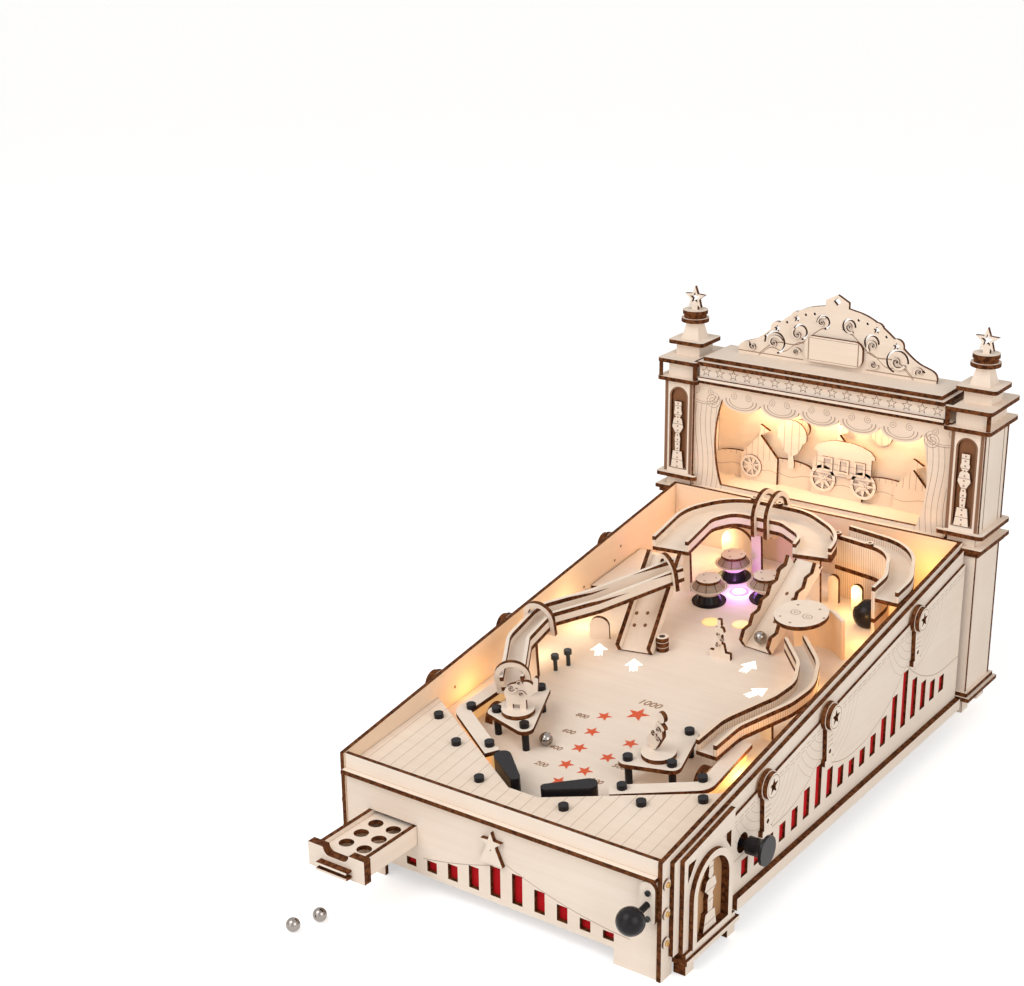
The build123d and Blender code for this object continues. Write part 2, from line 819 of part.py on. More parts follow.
with BuildPart() as apron:
    with BuildSketch(field.offset(apron_rise)):
        with BuildLine():
            Polyline((-fit_half, apron_front), (fit_half, apron_front), apron_corner, apron_tip,
                     (-apron_tip[0], apron_tip[1]), (-apron_corner[0], apron_corner[1]), close=True)
        make_face()
    extrude(amount=ply)

apron_edge = [(apron_corner[0] + (apron_tip[0] - apron_corner[0]) * share,
               apron_corner[1] + (apron_tip[1] - apron_corner[1]) * share - amber_inset)
              for share in amber_shares]
guide_route = [spot(pair) for pair in guide_shares]
amber_section = [(0, 0, amber_wall, apron_rise)]
apron_strip = track(field, apron_edge, guide_bend, amber_section)
guide_strip = track(field, guide_route, guide_bend, amber_section)
guide_plate = track(field.offset(apron_rise), guide_route, guide_bend, [(0, 0, guide_width, ply)])

with BuildPart() as amber_walls:
    add(apron_strip)
    add(guide_strip)
    mirror(about=Plane.YZ)

with BuildPart() as lane_guides:
    add(guide_plate)
    mirror(about=Plane.YZ)
    with BuildSketch(field.offset(apron_rise)):
        Polygon(*[spot(pair) for pair in chevron_shares], align=None)
    extrude(amount=ply)
    with BuildSketch(field):
        for u_share, v_share in chevron_shares[1:4]:
            with Locations((u_share * half_width - ply, v_share * cabinet_length)):
                Circle(card)
    extrude(amount=apron_rise)

with BuildPart() as sling_plates:
    with BuildSketch(field.offset(sling_rise)):
        with Locations(*[spot(pair) for pair in sling_shares]):
            Circle(sling_round)
        make_hull()
    extrude(amount=ply)
    with BuildSketch(field.offset(sling_rise + ply)):
        with Locations(spot(figure_disc_shares)):
            Circle(figure_disc_radius)
        for pair in sling_shares:
            with Locations(spot(pair)):
                Circle(bolt_radius + loose_gap, mode=Mode.SUBTRACT)
    extrude(amount=ply)
    mirror(about=Plane.YZ)

with BuildPart() as play_bolts:
    with BuildSketch(field.offset(apron_rise + ply)):
        with Locations(*field_bolts):
            Circle(bolt_radius)
    extrude(amount=bolt_height)
    with BuildSketch(field.offset(sling_rise + ply)):
        with Locations(*mirrored(sling_shares)):
            Circle(bolt_radius)
    extrude(amount=bolt_height)
    with BuildSketch(field):
        with Locations(*mirrored(sling_shares)):
            Circle(sleeve_radius)
    extrude(amount=sling_rise)

# Figures on the playfield, each cut from sheet and stood on edge
seal_foot = on(field, *spot(figure_disc_shares), sling_rise + 2 * ply, -play_figure_turn, 90)
elephant_foot = on(field, *spot((-figure_disc_shares[0], figure_disc_shares[1])), sling_rise + 2 * ply,
                   play_figure_turn, 90)
stand_foot = on(field, *spot(stand_shares), 0, 0, 90)

with BuildPart() as play_figures:
    with BuildSketch(seal_foot.offset(-ply / 2)):
        for first, second in zip(seal_shares, seal_shares[1:]):
            with BuildSketch(mode=Mode.PRIVATE) as limb:
                for x, y, reach in (first, second):
                    with Locations((x * play_figure_height, y * play_figure_height)):
                        Circle(reach * play_figure_height)
                make_hull()
            add(limb.sketch)
        with Locations((seal_ball_shares[0] * play_figure_height, seal_ball_shares[1] * play_figure_height)):
            Circle(seal_ball_shares[2] * play_figure_height)
    extrude(amount=ply)
    with BuildSketch(elephant_foot.offset(-ply / 2)):
        for first, second in zip(elephant_shares, elephant_shares[1:]):
            with BuildSketch(mode=Mode.PRIVATE) as limb:
                for x, y, reach in (first, second):
                    with Locations((x * play_figure_height, y * play_figure_height)):
                        Circle(reach * play_figure_height)
                make_hull()
            add(limb.sketch)
        for leg_share in elephant_leg_shares:
            middle = leg_share * play_figure_height
            half_leg = elephant_leg_share * play_figure_height / 2
            bar(middle - half_leg, middle + half_leg, 0, elephant_shares[0][1] * play_figure_height)
    extrude(amount=ply)
    with BuildSketch(stand_foot.offset(-ply / 2)):
        bar(-stand_width / 2, stand_width / 2, 0, stand_height)
    extrude(amount=ply)
    with BuildSketch(stand_foot.offset(-ply / 2)):
        statue(0, stand_height, play_figure_height - stand_height)
    extrude(amount=ply)

# Ramps: a sheet between two rails, and a slide between toothed fences
ramp_length = loop_rise / math.sin(math.radians(ramp_climb))
main_plane = on(field, *spot(main_ramp_shares), 0, main_ramp_heading, ramp_climb)
slide_plane = on(field, *spot(slide_shares), 0, slide_heading, ramp_climb)
slide_length = (loop_rise - ply) / math.sin(math.radians(ramp_climb)) - ply
tooth_count = int(slide_length / slide_tooth)

with BuildPart() as ramps:
    with BuildSketch(main_plane):
        bar(-main_ramp_width / 2, main_ramp_width / 2, 0, ramp_length - 2 * ply)
    extrude(amount=ramp_sheet)
    with BuildSketch(main_plane.offset(ramp_sheet)):
        for edge in (-1, 1):
            middle = edge * (main_ramp_width - ramp_rail) / 2
            bar(middle - ramp_rail / 2, middle + ramp_rail / 2, 0, ramp_length - 2 * ply)
    extrude(amount=main_ramp_rail_height - ramp_sheet)
    with BuildSketch(slide_plane):
        bar(-slide_width / 2, slide_width / 2, 0, slide_length)
    extrude(amount=ramp_sheet)
    for edge in (-1, 1):
        fence_side = Plane(origin=slide_plane.origin + slide_plane.x_dir * (edge * slide_width / 2 - ply / 2),
                           x_dir=slide_plane.y_dir, z_dir=slide_plane.x_dir)
        with BuildSketch(fence_side):
            teeth = [(0, ramp_sheet), (0, slide_fence_low)]
            for tooth in range(tooth_count):
                high = slide_fence_low if tooth % 2 else slide_fence_high
                teeth.append(((tooth + 1) * slide_tooth, high))
            teeth.append((tooth_count * slide_tooth, ramp_sheet))
            Polygon(*teeth, align=None)
        extrude(amount=ply)

# Tracks: floors, walls, posts and hoops
loop_route = [spot(pair) for pair in loop_shares]
orbit_route = [spot(pair) for pair in orbit_shares]
winding_route = [spot(pair) for pair in winding_shares]
rail_route = [spot(pair) for pair in rail_shares]
rail_plane = on(field, 0, rail_start_share * cabinet_length, rail_rise, 0, rail_climb)
loop_plane = field.offset(loop_rise)
orbit_plane = field.offset(orbit_rise)
winding_plane = field.offset(winding_rise)
curtain_across = -(orbit_width + track_wall) / 2
loop_floor = track(loop_plane, loop_route, loop_bend, floor_strip(loop_width))
loop_walls = track(loop_plane, loop_route, loop_bend, wall_strips(loop_width, loop_wall_height))
orbit_floor = track(orbit_plane, orbit_route, orbit_bend, floor_strip(orbit_width))
orbit_wall = track(orbit_plane, orbit_route, orbit_bend,
                   [((orbit_width - track_wall) / 2, 0, track_wall, loop_wall_height)])
orbit_curtain = track(field, orbit_route, orbit_bend,
                      [(curtain_across, 0, track_wall, orbit_rise + loop_wall_height)])
winding_floor = track(winding_plane, winding_route, winding_bend, floor_strip(winding_width))
winding_walls = track(winding_plane, winding_route, winding_bend,
                      wall_strips(winding_width, winding_wall_height))
rail_floor = track(rail_plane, rail_route, rail_bend, floor_strip(rail_width))
rail_walls = track(rail_plane, rail_route, rail_bend, wall_strips(rail_width, rail_wall_height))
hood_strip = track(field, [spot(pair) for pair in hood_wall_shares], hood_wall_bend,
                   [(0, 0, track_wall, hood_rise)])

with BuildPart() as upper_track_floors:
    add(loop_floor)
    add(orbit_floor)

with BuildPart() as upper_track_walls:
    add(loop_walls)
    add(orbit_wall)
    add(orbit_curtain)

with BuildPart() as side_track_floors:
    add(winding_floor)
    add(rail_floor)

with BuildPart() as side_track_walls:
    add(winding_walls)
    add(rail_walls)


def rail_underside(share):
    """Height of the descending rail's underside above the playfield, at the low edge of a post."""
    climb = math.radians(rail_climb)
    return rail_rise + (share * cabinet_length - ply / 2) * math.sin(climb) - ply / math.cos(climb)


with BuildPart() as track_posts:
    for places, rise in ((loop_post_shares, loop_rise), (winding_post_shares, winding_rise)):
        with BuildSketch(field):
            with Locations(*[spot(pair) for pair in places]):
                Rectangle(post_width, ply)
        extrude(amount=rise - ply)
    for u_share, v_share in rail_post_shares:
        with BuildSketch(field):
            with Locations(spot((u_share, v_share + rail_start_share))):
                Rectangle(post_width, ply)
        extrude(amount=rail_underside(v_share))


def hoop_plane(plane, near, far, along_share):
    """Plane square across a straight stretch of track, its x axis across the track."""
    u = near[0] + (far[0] - near[0]) * along_share
    v = near[1] + (far[1] - near[1]) * along_share
    heading = math.degrees(math.atan2(far[1] - near[1], far[0] - near[0]))
    return on(plane, u, v, 0, heading - 90, 90)


hoop_stretches = [(loop_plane, loop_route[2], loop_route[3], along_share, loop_width)
                  for along_share in loop_hoop_shares]
hoop_stretches += [(rail_plane, rail_route[number], rail_route[number + 1], along_share, rail_width)
                   for number, along_share in zip(rail_hoop_stretches, rail_hoop_shares)]

with BuildPart() as track_hoops:
    for plane, near, far, along_share, width in hoop_stretches:
        with BuildSketch(hoop_plane(plane, near, far, along_share).offset(-ply / 2)):
            arch(0, width + 2 * (hoop_band + loose_gap), -ply - hoop_band, hoop_spring)
            arch(0, width + 2 * loose_gap, -ply, hoop_spring, Mode.SUBTRACT)
        extrude(amount=ply)

# Bumpers, domes, targets and hood
bumper_planes = [on(field, *spot(pair)) for pair in bumper_shares]
low_align = (Align.CENTER, Align.CENTER, Align.MIN)

with BuildPart() as bumper_bases:
    with Locations(*bumper_planes):
        Cylinder(bumper_flange_radius, card, align=low_align)
        Cone(bumper_base_radius, bumper_base_top_radius, bumper_base_height, align=low_align)

with BuildPart() as bumper_caps:
    with Locations(*[plane.offset(bumper_base_height) for plane in bumper_planes]):
        Cone(bumper_base_top_radius, bumper_dish_radius, bumper_dish_height, align=low_align)
    neck_foot = bumper_base_height + bumper_dish_height
    with Locations(*[plane.offset(neck_foot) for plane in bumper_planes]):
        Cone(bumper_neck_foot_radius, bumper_neck_radius, bumper_neck_height, align=low_align)
    with Locations(*[plane.offset(neck_foot + bumper_neck_height) for plane in bumper_planes]):
        Cylinder(bumper_top_radius, bumper_top_sheet, align=low_align)

with BuildPart() as black_domes:
    with Locations(*[on(field, *spot(pair)) for pair in dome_shares]):
        Sphere(dome_radius, arc_size1=-dome_cut_angle, align=low_align)

with BuildPart() as targets:
    for pair in lane_post_shares:
        with BuildSketch(on(field, *spot(pair), 0, 0, 90).offset(-ply / 2)):
            arch(0, lane_post_width, 0, lane_post_height - lane_post_width / 2)
        extrude(amount=ply)
    with BuildSketch(on(field, *spot(sign_shares), 0, play_figure_turn, 90).offset(-ply / 2)):
        arch(0, sign_width, 0, sign_height - sign_width / 2)
    extrude(amount=ply)
    with BuildSketch(on(field, *spot(drum_shares), 0, 0, 90).offset(-ply / 2)):
        arch(0, 2 * drum_radius, 0, drum_radius)
    extrude(amount=ply)
    for edge in (-1, 1):
        arch_place = spot((edge * half_arch_shares[0], half_arch_shares[1]))
        with BuildSketch(on(field, *arch_place, 0, 90, 90).offset(-ply)):
            Circle(half_arch_radius)
            bar(-half_arch_radius, half_arch_radius, -half_arch_radius, 0, Mode.SUBTRACT)
        extrude(amount=2 * ply)

with BuildPart() as hood:
    with BuildSketch(on(field, *spot(hood_shares), hood_rise)):
        Ellipse(hood_length / 2, hood_width / 2)
    extrude(amount=ply)
    add(hood_strip)

# Lane from the plunger up to the playfield, and the trough from the drain to the drawer
lane_floor = plunger_depth + ball_radius
lane_foot = lane_floor + ply

with BuildPart() as ball_lanes:
    with BuildSketch(field_side.offset(lane_left + loose_gap)):
        Polygon((lane_start + lane_stop, -lane_floor), (lane_end - loose_gap, 0),
                (lane_end - loose_gap, -ply), (lane_start + lane_stop, -lane_foot), align=None)
    extrude(amount=fit_half - lane_left - loose_gap)
    with BuildSketch(field_side.offset(lane_left - ply)):
        Polygon((lane_start + lane_stop, -ply), (lane_end, -ply), (lane_start + lane_stop, -lane_foot),
                align=None)
    extrude(amount=ply)
    with BuildSketch(field_side.offset(lane_left + loose_gap)):
        bar(lane_start, lane_start + lane_stop, -lane_foot, -card)
    extrude(amount=fit_half - lane_left - loose_gap)
    with BuildSketch(plunger_axis):
        Circle(plunger_rod_radius + run_gap)
    extrude(amount=-lane_start - lane_stop - overrun, mode=Mode.SUBTRACT)
    trough_face = Plane(origin=field.origin, x_dir=field.x_dir, z_dir=-field.y_dir)
    with BuildSketch(trough_face.offset(-trough_front)):
        Polygon((trough_start, -trough_high), (trough_end, -trough_low), (trough_end, -trough_low - trough_lip),
                (trough_start, -trough_high - trough_lip), align=None)
    extrude(amount=-trough_depth)
    with BuildSketch(trough_face.offset(-trough_front - trough_depth)):
        Polygon((trough_start, -ply), (trough_end, -ply), (trough_end, -trough_low - trough_lip),
                (trough_start, -trough_high - trough_lip), align=None)
    extrude(amount=-trough_lip)

# Flippers: bat and shaft above, crank and pin below the playfield
crank_top = -ply - under_gap
pin_foot = crank_top - ply
rest_turn = -90 - flipper_swing / 2
pin_fall = crank_radius * (1 - math.cos(math.radians(flipper_swing / 2)))
rod_front = pivot_along - crank_radius - pin_radius - rod_margin
rod_back = rod_front + rod_width


def crank_pin(edge):
    """Place of the crank pin at rest on the left (-1) or right (1) flipper."""
    turn = math.radians(rest_turn)
    return (edge * (pivot[0] - crank_radius * math.cos(turn)), pivot[1] + crank_radius * math.sin(turn))


def flipper_parts(edge):
    """Bat with its shaft, and the crank with its pin, for one side."""
    eye = (edge * pivot[0], pivot[1])
    droop = math.radians(bat_droop)
    tip = (edge * (pivot[0] - bat_length * math.cos(droop)), pivot[1] - bat_length * math.sin(droop))
    pin = crank_pin(edge)
    with BuildPart() as bat:
        with BuildSketch(field.offset(card)):
            with Locations(eye):
                Circle(bat_root_radius)
            with Locations(tip):
                Circle(bat_tip_radius)
            make_hull()
        extrude(amount=bat_height)
        with BuildSketch(field.offset(pin_foot)):
            with Locations(eye):
                Circle(shaft_radius)
        extrude(amount=card - pin_foot)
    with BuildPart() as crank:
        with BuildSketch(field.offset(pin_foot)):
            with Locations(eye):
                Circle(crank_eye_radius)
            with Locations(pin):
                Circle(pin_radius + ply / 2)
            make_hull()
            with Locations(eye):
                Circle(shaft_radius + run_gap, mode=Mode.SUBTRACT)
        extrude(amount=ply)
        with BuildSketch(field.offset(pin_foot - pin_length)):
            with Locations(pin):
                Circle(pin_radius)
        extrude(amount=pin_length)
    return bat, crank


left_flipper, left_crank = flipper_parts(-1)
right_flipper, right_crank = flipper_parts(1)


def button_parts(edge):
    """Button with its stem, push rod with its pin slot, and return spring, for one side."""
    axis = Plane(origin=(field * Pos(0, stem_place, -rod_depth - ply / 2)).position,
                 x_dir=(0, 1, 0), z_dir=(edge, 0, 0))
    pin = crank_pin(edge)
    tab = (edge * (stem_inner + tab_inset), edge * (stem_inner + tab_inset + rod_tab))
    with BuildPart() as rod:
        with BuildSketch(field.offset(-rod_depth - ply)):
            bar(min(edge * rod_tip, tab[1]), max(edge * rod_tip, tab[1]), rod_front, rod_back)
            bar(min(tab), max(tab), rod_front, stem_place + stem_kerf)
            with Locations((pin[0], pin[1] - pin_fall / 2)):
                SlotCenterToCenter(pin_fall + pin_slack, 2 * (pin_radius + pin_slack), rotation=90,
                                   mode=Mode.SUBTRACT)
        extrude(amount=ply)
    with BuildPart() as button:
        with BuildSketch(axis.offset(stem_inner)):
            Circle(stem_radius)
        extrude(amount=knob_end - stem_inner)
        with BuildSketch(axis.offset(stem_inner - nose_length)):
            Circle(nose_radius)
        extrude(amount=nose_length)
        with BuildSketch(Plane(origin=axis.origin, x_dir=axis.z_dir, z_dir=axis.x_dir)):
            with BuildLine():
                Polyline((knob_end - knob_rim, knob_radius), (knob_end, knob_radius), (knob_end, 0),
                         (knob_neck_start, 0), (knob_neck_start, knob_neck_radius),
                         (knob_start, knob_neck_radius))
                ThreePointArc((knob_start, knob_neck_radius),
                              (knob_start + bell_shares[0] * (knob_end - knob_start),
                               knob_neck_radius + bell_shares[1] * (knob_radius - knob_neck_radius)),
                              (knob_end - knob_rim, knob_radius))
            make_face()
        revolve(axis=Axis(axis.origin, axis.z_dir))
        with BuildSketch(field.offset(-rod_depth - ply)):
            bar(min(tab), max(tab), rod_front, stem_place + stem_kerf)
        extrude(amount=ply, mode=Mode.SUBTRACT)
    spring = coil(axis.offset(stem_inner - return_spring_length), return_spring_radius, return_spring_wire,
                  return_spring_turns, return_spring_length)
    return button, rod, spring


left_button, left_push_rod, left_spring_tube = button_parts(-1)
right_button, right_push_rod, right_spring_tube = button_parts(1)

with BuildPart() as left_return_spring:
    add(left_spring_tube)

with BuildPart() as right_return_spring:
    add(right_spring_tube)

# Plunger: knob, rod, collar and tip turned as one, and its spring behind the front panel
knob_plane = plunger_axis.offset(-plunger_knob_place)
collar_plane = plunger_axis.offset(-plunger_collar_start - plunger_collar_width)

with BuildPart() as plunger:
    with BuildSketch(plunger_axis.offset(-plunger_tip)):
        Circle(plunger_rod_radius)
    extrude(amount=plunger_tip - plunger_knob_place)
    with BuildSketch(collar_plane):
        Circle(plunger_collar_radius)
    extrude(amount=plunger_collar_width)
    with Locations(knob_plane):
        Sphere(plunger_knob_radius)

spring_seat = plunger_axis.offset(-plunger_collar_start)
spring_room = plunger_collar_start - (panel_back + plunger_collar_radius * tilt_sin) / tilt_cos - loose_gap
plunger_coil = coil(spring_seat, plunger_spring_radius, plunger_spring_wire, plunger_spring_turns, spring_room)

with BuildPart() as plunger_spring:
    add(plunger_coil)

# Drawer: double front with handle bars, tray with ball holes, and its runners
drawer_low = drawer_centre - drawer_width / 2
drawer_high = drawer_centre + drawer_width / 2
drawer_top = drawer_foot + drawer_height
drawer_back = panel_setback - drawer_pull
tray_inner = tray_width / 2 - ply

with BuildPart() as drawer_front:
    with BuildSketch(front.offset(-drawer_back)):
        bar(drawer_low, drawer_high, drawer_foot, drawer_top)
        with Locations((drawer_centre, drawer_top)):
            SlotOverall(drawer_scoop_width, 2 * drawer_scoop_depth, mode=Mode.SUBTRACT)
    extrude(amount=2 * ply)
    for step_share in (1 / 8, 3 / 8):
        handle_foot = drawer_foot + drawer_height * step_share
        with BuildSketch(table.offset(handle_foot)):
            bar(drawer_centre - drawer_handle_width / 2, drawer_centre + drawer_handle_width / 2,
                drawer_back - 2 * ply - drawer_handle_reach, drawer_back - 2 * ply)
        extrude(amount=ply / 2)

with BuildPart() as drawer_tray:
    with BuildSketch(table.offset(tray_foot)):
        bar(drawer_centre - tray_width / 2, drawer_centre + tray_width / 2, drawer_back,
            drawer_back + tray_length)
    extrude(amount=ply)
    with BuildSketch(table.offset(tray_foot + ply)):
        for edge in (-1, 1):
            middle = drawer_centre + edge * (tray_inner + ply / 2)
            bar(middle - ply / 2, middle + ply / 2, drawer_back, drawer_back + tray_length)
        bar(drawer_centre - tray_inner, drawer_centre + tray_inner, drawer_back + tray_length - ply,
            drawer_back + tray_length)
    extrude(amount=tray_side_height)
    with BuildSketch(table.offset(tray_foot + ply + tray_shelf_height)):
        bar(drawer_centre - tray_inner, drawer_centre + tray_inner, drawer_back,
            drawer_back + tray_length - ply)
        for row in range(tray_hole_rows):
            for column in range(tray_hole_columns):
                across = drawer_centre + (column - (tray_hole_columns - 1) / 2) * tray_hole_pitch
                with Locations((across, drawer_back + tray_hole_lead + row * tray_hole_pitch)):
                    Circle(tray_hole_radius, mode=Mode.SUBTRACT)
    extrude(amount=ply)

runner_start = panel_back + card + loose_gap
runner_end = runner_start + tray_length + ply

with BuildPart() as guide_blocks:
    with BuildSketch(table.offset(tray_foot - ply)):
        bar(drawer_centre - tray_half, drawer_centre + tray_half, runner_start, runner_end)
    extrude(amount=ply)
    with BuildSketch(table.offset(floor_height + ply)):
        for edge in (-1, 1):
            middle = drawer_centre + edge * (tray_half + ply / 2)
            bar(middle - ply / 2, middle + ply / 2, runner_start, runner_end)
    extrude(amount=tray_foot + tray_side_height - floor_height - ply)
    block_face = stem_inner - return_spring_length
    with BuildSketch(field.offset(-block_depth)):
        for edge in (-1, 1):
            bar(min(edge * block_face, edge * (block_face - ply)), max(edge * block_face, edge * (block_face - ply)),
                stem_place - block_width / 2, stem_place + block_width / 2)
    extrude(amount=block_depth - ply)
    with BuildSketch(side.offset(-half_width)):
        with Locations(stem_centre):
            Circle(nose_radius + loose_gap)
    extrude(amount=cabinet_width, mode=Mode.SUBTRACT)

# Balls: on the table, in play, and waiting in the plunger's lane
lane_rise = (ball_radius - loose_gap) / (lane_end - lane_start) * lane_floor
ball_places = [table * Pos(*spot(pair), ball_radius) for pair in loose_ball_shares]
ball_places.append(field * Pos(*spot(sling_ball_shares), ball_radius))
ball_places.append(main_plane * Pos(0, ramp_length * ramp_ball_share, ramp_sheet + ball_radius))
ball_places.append(slide_plane * Pos(0, slide_length * slide_ball_share, ramp_sheet + ball_radius))
ball_places.append(field * Pos(plunger_place, plunger_tip + ball_radius + loose_gap,
                               lane_rise + loose_gap - plunger_depth))

with BuildPart() as steel_balls:
    with Locations(*[place.location if isinstance(place, Plane) else place for place in ball_places]):
        Sphere(ball_radius)

# Battery box with its cover, sound board with speaker, and the switch
box_foot = floor_height + ply

with BuildPart() as battery_box:
    with BuildSketch(table.offset(box_foot)):
        with Locations((0, battery_place)):
            Rectangle(battery_width, battery_depth)
    extrude(amount=battery_height)
    with BuildSketch(table.offset(box_foot)):
        with Locations((0, battery_place)):
            Rectangle(battery_width - 2 * battery_wall, battery_depth - 2 * battery_wall)
    extrude(amount=battery_height - battery_wall, mode=Mode.SUBTRACT)
    with BuildSketch(table.offset(floor_height)):
        with Locations((0, battery_place)):
            Rectangle(battery_width - 2 * battery_wall - 2 * loose_gap,
                      battery_depth - 2 * battery_wall - 2 * loose_gap)
    extrude(amount=ply - loose_gap)

with BuildPart() as sound_board:
    with BuildSketch(table.offset(box_foot)):
        with Locations((0, board_place)):
            with GridLocations(board_width - 3 * standoff_radius, board_depth - 3 * standoff_radius, 2, 2):
                Circle(standoff_radius)
    extrude(amount=standoff)
    with BuildSketch(table.offset(box_foot + standoff)):
        with Locations((0, board_place)):
            Rectangle(board_width, board_depth)
    extrude(amount=board_sheet)
    with BuildSketch(table.offset(box_foot)):
        with Locations((board_width, board_place)):
            Circle(speaker_radius)
    extrude(amount=speaker_height)
    with BuildSketch(front.offset(ply - cabinet_length)):
        with Locations((switch_place + switch_travel / 2, switch_height)):
            Rectangle(switch_case_width, 2 * switch_tall)
    extrude(amount=switch_case_depth)

with BuildPart() as power_switch:
    with BuildSketch(front.offset(-cabinet_length - switch_reach)):
        with Locations((switch_place, switch_height)):
            Rectangle(switch_width, switch_tall)
    extrude(amount=ply + switch_reach - loose_gap)

# Pillars: shafts and necks between stacked plates
pillar_centre = (pillar_place, cabinet_length + pillar_depth / 2)


def pillar_level(number):
    """Lower and upper height of one layer of a pillar, counted from the table."""
    return pillar_heights[number], pillar_heights[number + 1]


with BuildPart() as pillar_shafts:
    for number in (0, 6, 10):
        foot, top = pillar_level(number)
        with BuildSketch(table.offset(foot)):
            with Locations(pillar_centre):
                Rectangle(pillar_width - 2 * neck_inset, pillar_depth - 2 * neck_inset)
        extrude(amount=top - foot)
    with BuildSketch(table.offset(pillar_heights[0])):
        with Locations(pillar_centre):
            Rectangle(pillar_width, pillar_notch_length)
    extrude(amount=pillar_notch_height, mode=Mode.SUBTRACT)
    with BuildSketch(table):
        inner_edge = pillar_place - pillar_width / 2 + neck_inset
        far_edge = cabinet_length + pillar_depth - neck_inset
        bar(inner_edge, inner_edge + rear_foot_width, far_edge - rear_foot_length, far_edge)
    extrude(amount=pillar_heights[0])
    for number in (3, 8):
        foot, top = pillar_level(number)
        with BuildSketch(table.offset(foot)):
            with Locations(pillar_centre):
                Rectangle(pillar_width, pillar_depth)
                Rectangle(pillar_width - 2 * ply, pillar_depth - 2 * ply, mode=Mode.SUBTRACT)
        extrude(amount=top - foot)
    with BuildSketch(front.offset(-cabinet_length - ply)):
        arch(pillar_place, pillar_arch_width, pillar_arch_foot, pillar_arch_spring)
    extrude(amount=ply, mode=Mode.SUBTRACT)
    foot, top = pillar_level(10)
    with BuildSketch(table.offset(foot)):
        for edge in (-1, 1):
            with Locations((pillar_place + edge * (pillar_width + plate_overhang) / 2,
                            cabinet_length - plate_lip / 2)):
                Circle(baluster_radius)
    extrude(amount=top - foot)
    foot, top = pillar_level(12)
    with BuildSketch(table.offset(foot)):
        with Locations(pillar_centre):
            Rectangle(cap_box_width, cap_box_width)
    extrude(amount=top - foot)
    with BuildSketch(table.offset(pillar_heights[14]), mode=Mode.PRIVATE) as taper_base:
        with Locations(pillar_centre):
            Rectangle(taper_base_width, taper_base_width)
    with BuildSketch(table.offset(pillar_heights[14] + taper_height), mode=Mode.PRIVATE) as taper_top:
        with Locations(pillar_centre):
            Rectangle(taper_top_width, taper_top_width)
    loft(sections=[taper_base.sketch, taper_top.sketch])
    mirror(about=Plane.YZ)

disc_foot = pillar_heights[14] + taper_height

with BuildPart() as pillar_plates:
    for number, reach_share in ((1, 1), (2, 1 / 2), (4, 1 / 2), (5, 1)):
        foot, top = pillar_level(number)
        outer_edge = pillar_place + pillar_width / 2 + plate_overhang * reach_share
        with BuildSketch(table.offset(foot)):
            bar(pillar_place - pillar_width / 2, outer_edge,
                cabinet_length, cabinet_length + pillar_depth + plate_lip * reach_share)
            bar(half_width + loose_gap, outer_edge,
                cabinet_length - (panel_back_gap - loose_gap) * reach_share, cabinet_length)
        extrude(amount=top - foot)
    for number in (7, 9, 11):
        foot, top = pillar_level(number)
        with BuildSketch(table.offset(foot)):
            with Locations(pillar_centre):
                RectangleRounded(pillar_width + 2 * plate_overhang, pillar_depth + 2 * plate_lip,
                                 plate_round)
            bar(0, pillar_place - pillar_width / 2, cabinet_length, back_reach + overrun, Mode.SUBTRACT)
        extrude(amount=top - foot)
    foot, top = pillar_level(13)
    with BuildSketch(table.offset(foot)):
        with Locations(pillar_centre):
            RectangleRounded(cap_box_width + 2 * plate_overhang, cap_box_width + 2 * plate_overhang, plate_round)
    extrude(amount=top - foot)
    for step, radius in ((0, disc_radius), (ply, disc_radius - disc_step), (2 * ply, disc_radius - disc_step / 2)):
        with BuildSketch(table.offset(disc_foot + step)):
            with Locations(pillar_centre):
                Circle(radius)
        extrude(amount=ply)
    mirror(about=Plane.YZ)

finial_foot = disc_foot + 3 * ply
finial_middle = finial_foot + finial_height - finial_star_radius

with BuildPart() as stars:
    with BuildSketch(front.offset(-pillar_centre[1] - ply / 2)):
        bar(pillar_place - finial_stem_width / 2, pillar_place + finial_stem_width / 2, finial_foot,
            finial_middle)
        with Locations((pillar_place, finial_middle)):
            star(finial_star_radius)
            star(finial_star_radius / 2, Mode.SUBTRACT)
    extrude(amount=ply)
    mirror(about=Plane.YZ)
    with BuildSketch(front.offset(-panel_setback)):
        Polygon((-front_star_base_width / 2, front_star_base_foot), (front_star_base_width / 2, front_star_base_foot),
                (front_star_base_width / 4, front_star_height - front_star_radius / 2),
                (-front_star_base_width / 4, front_star_height - front_star_radius / 2), align=None)
        with Locations((0, front_star_height)):
            star(front_star_radius)
    extrude(amount=ply)

# Stage between the pillars
stage_half = pillar_place - pillar_width / 2 - loose_gap
stage_back = cabinet_length + pillar_depth
stage_front_face = cabinet_length + stage_setback
stage_room = stage_ceiling - stage_height

with BuildPart() as stage_box:
    for foot in (stage_height - ply, stage_ceiling):
        with BuildSketch(table.offset(foot)):
            bar(-stage_half, stage_half, cabinet_length + loose_gap, stage_back)
        extrude(amount=ply)
    with BuildSketch(front.offset(-stage_back)):
        bar(-stage_half, stage_half, stage_height, stage_ceiling)
    extrude(amount=ply)

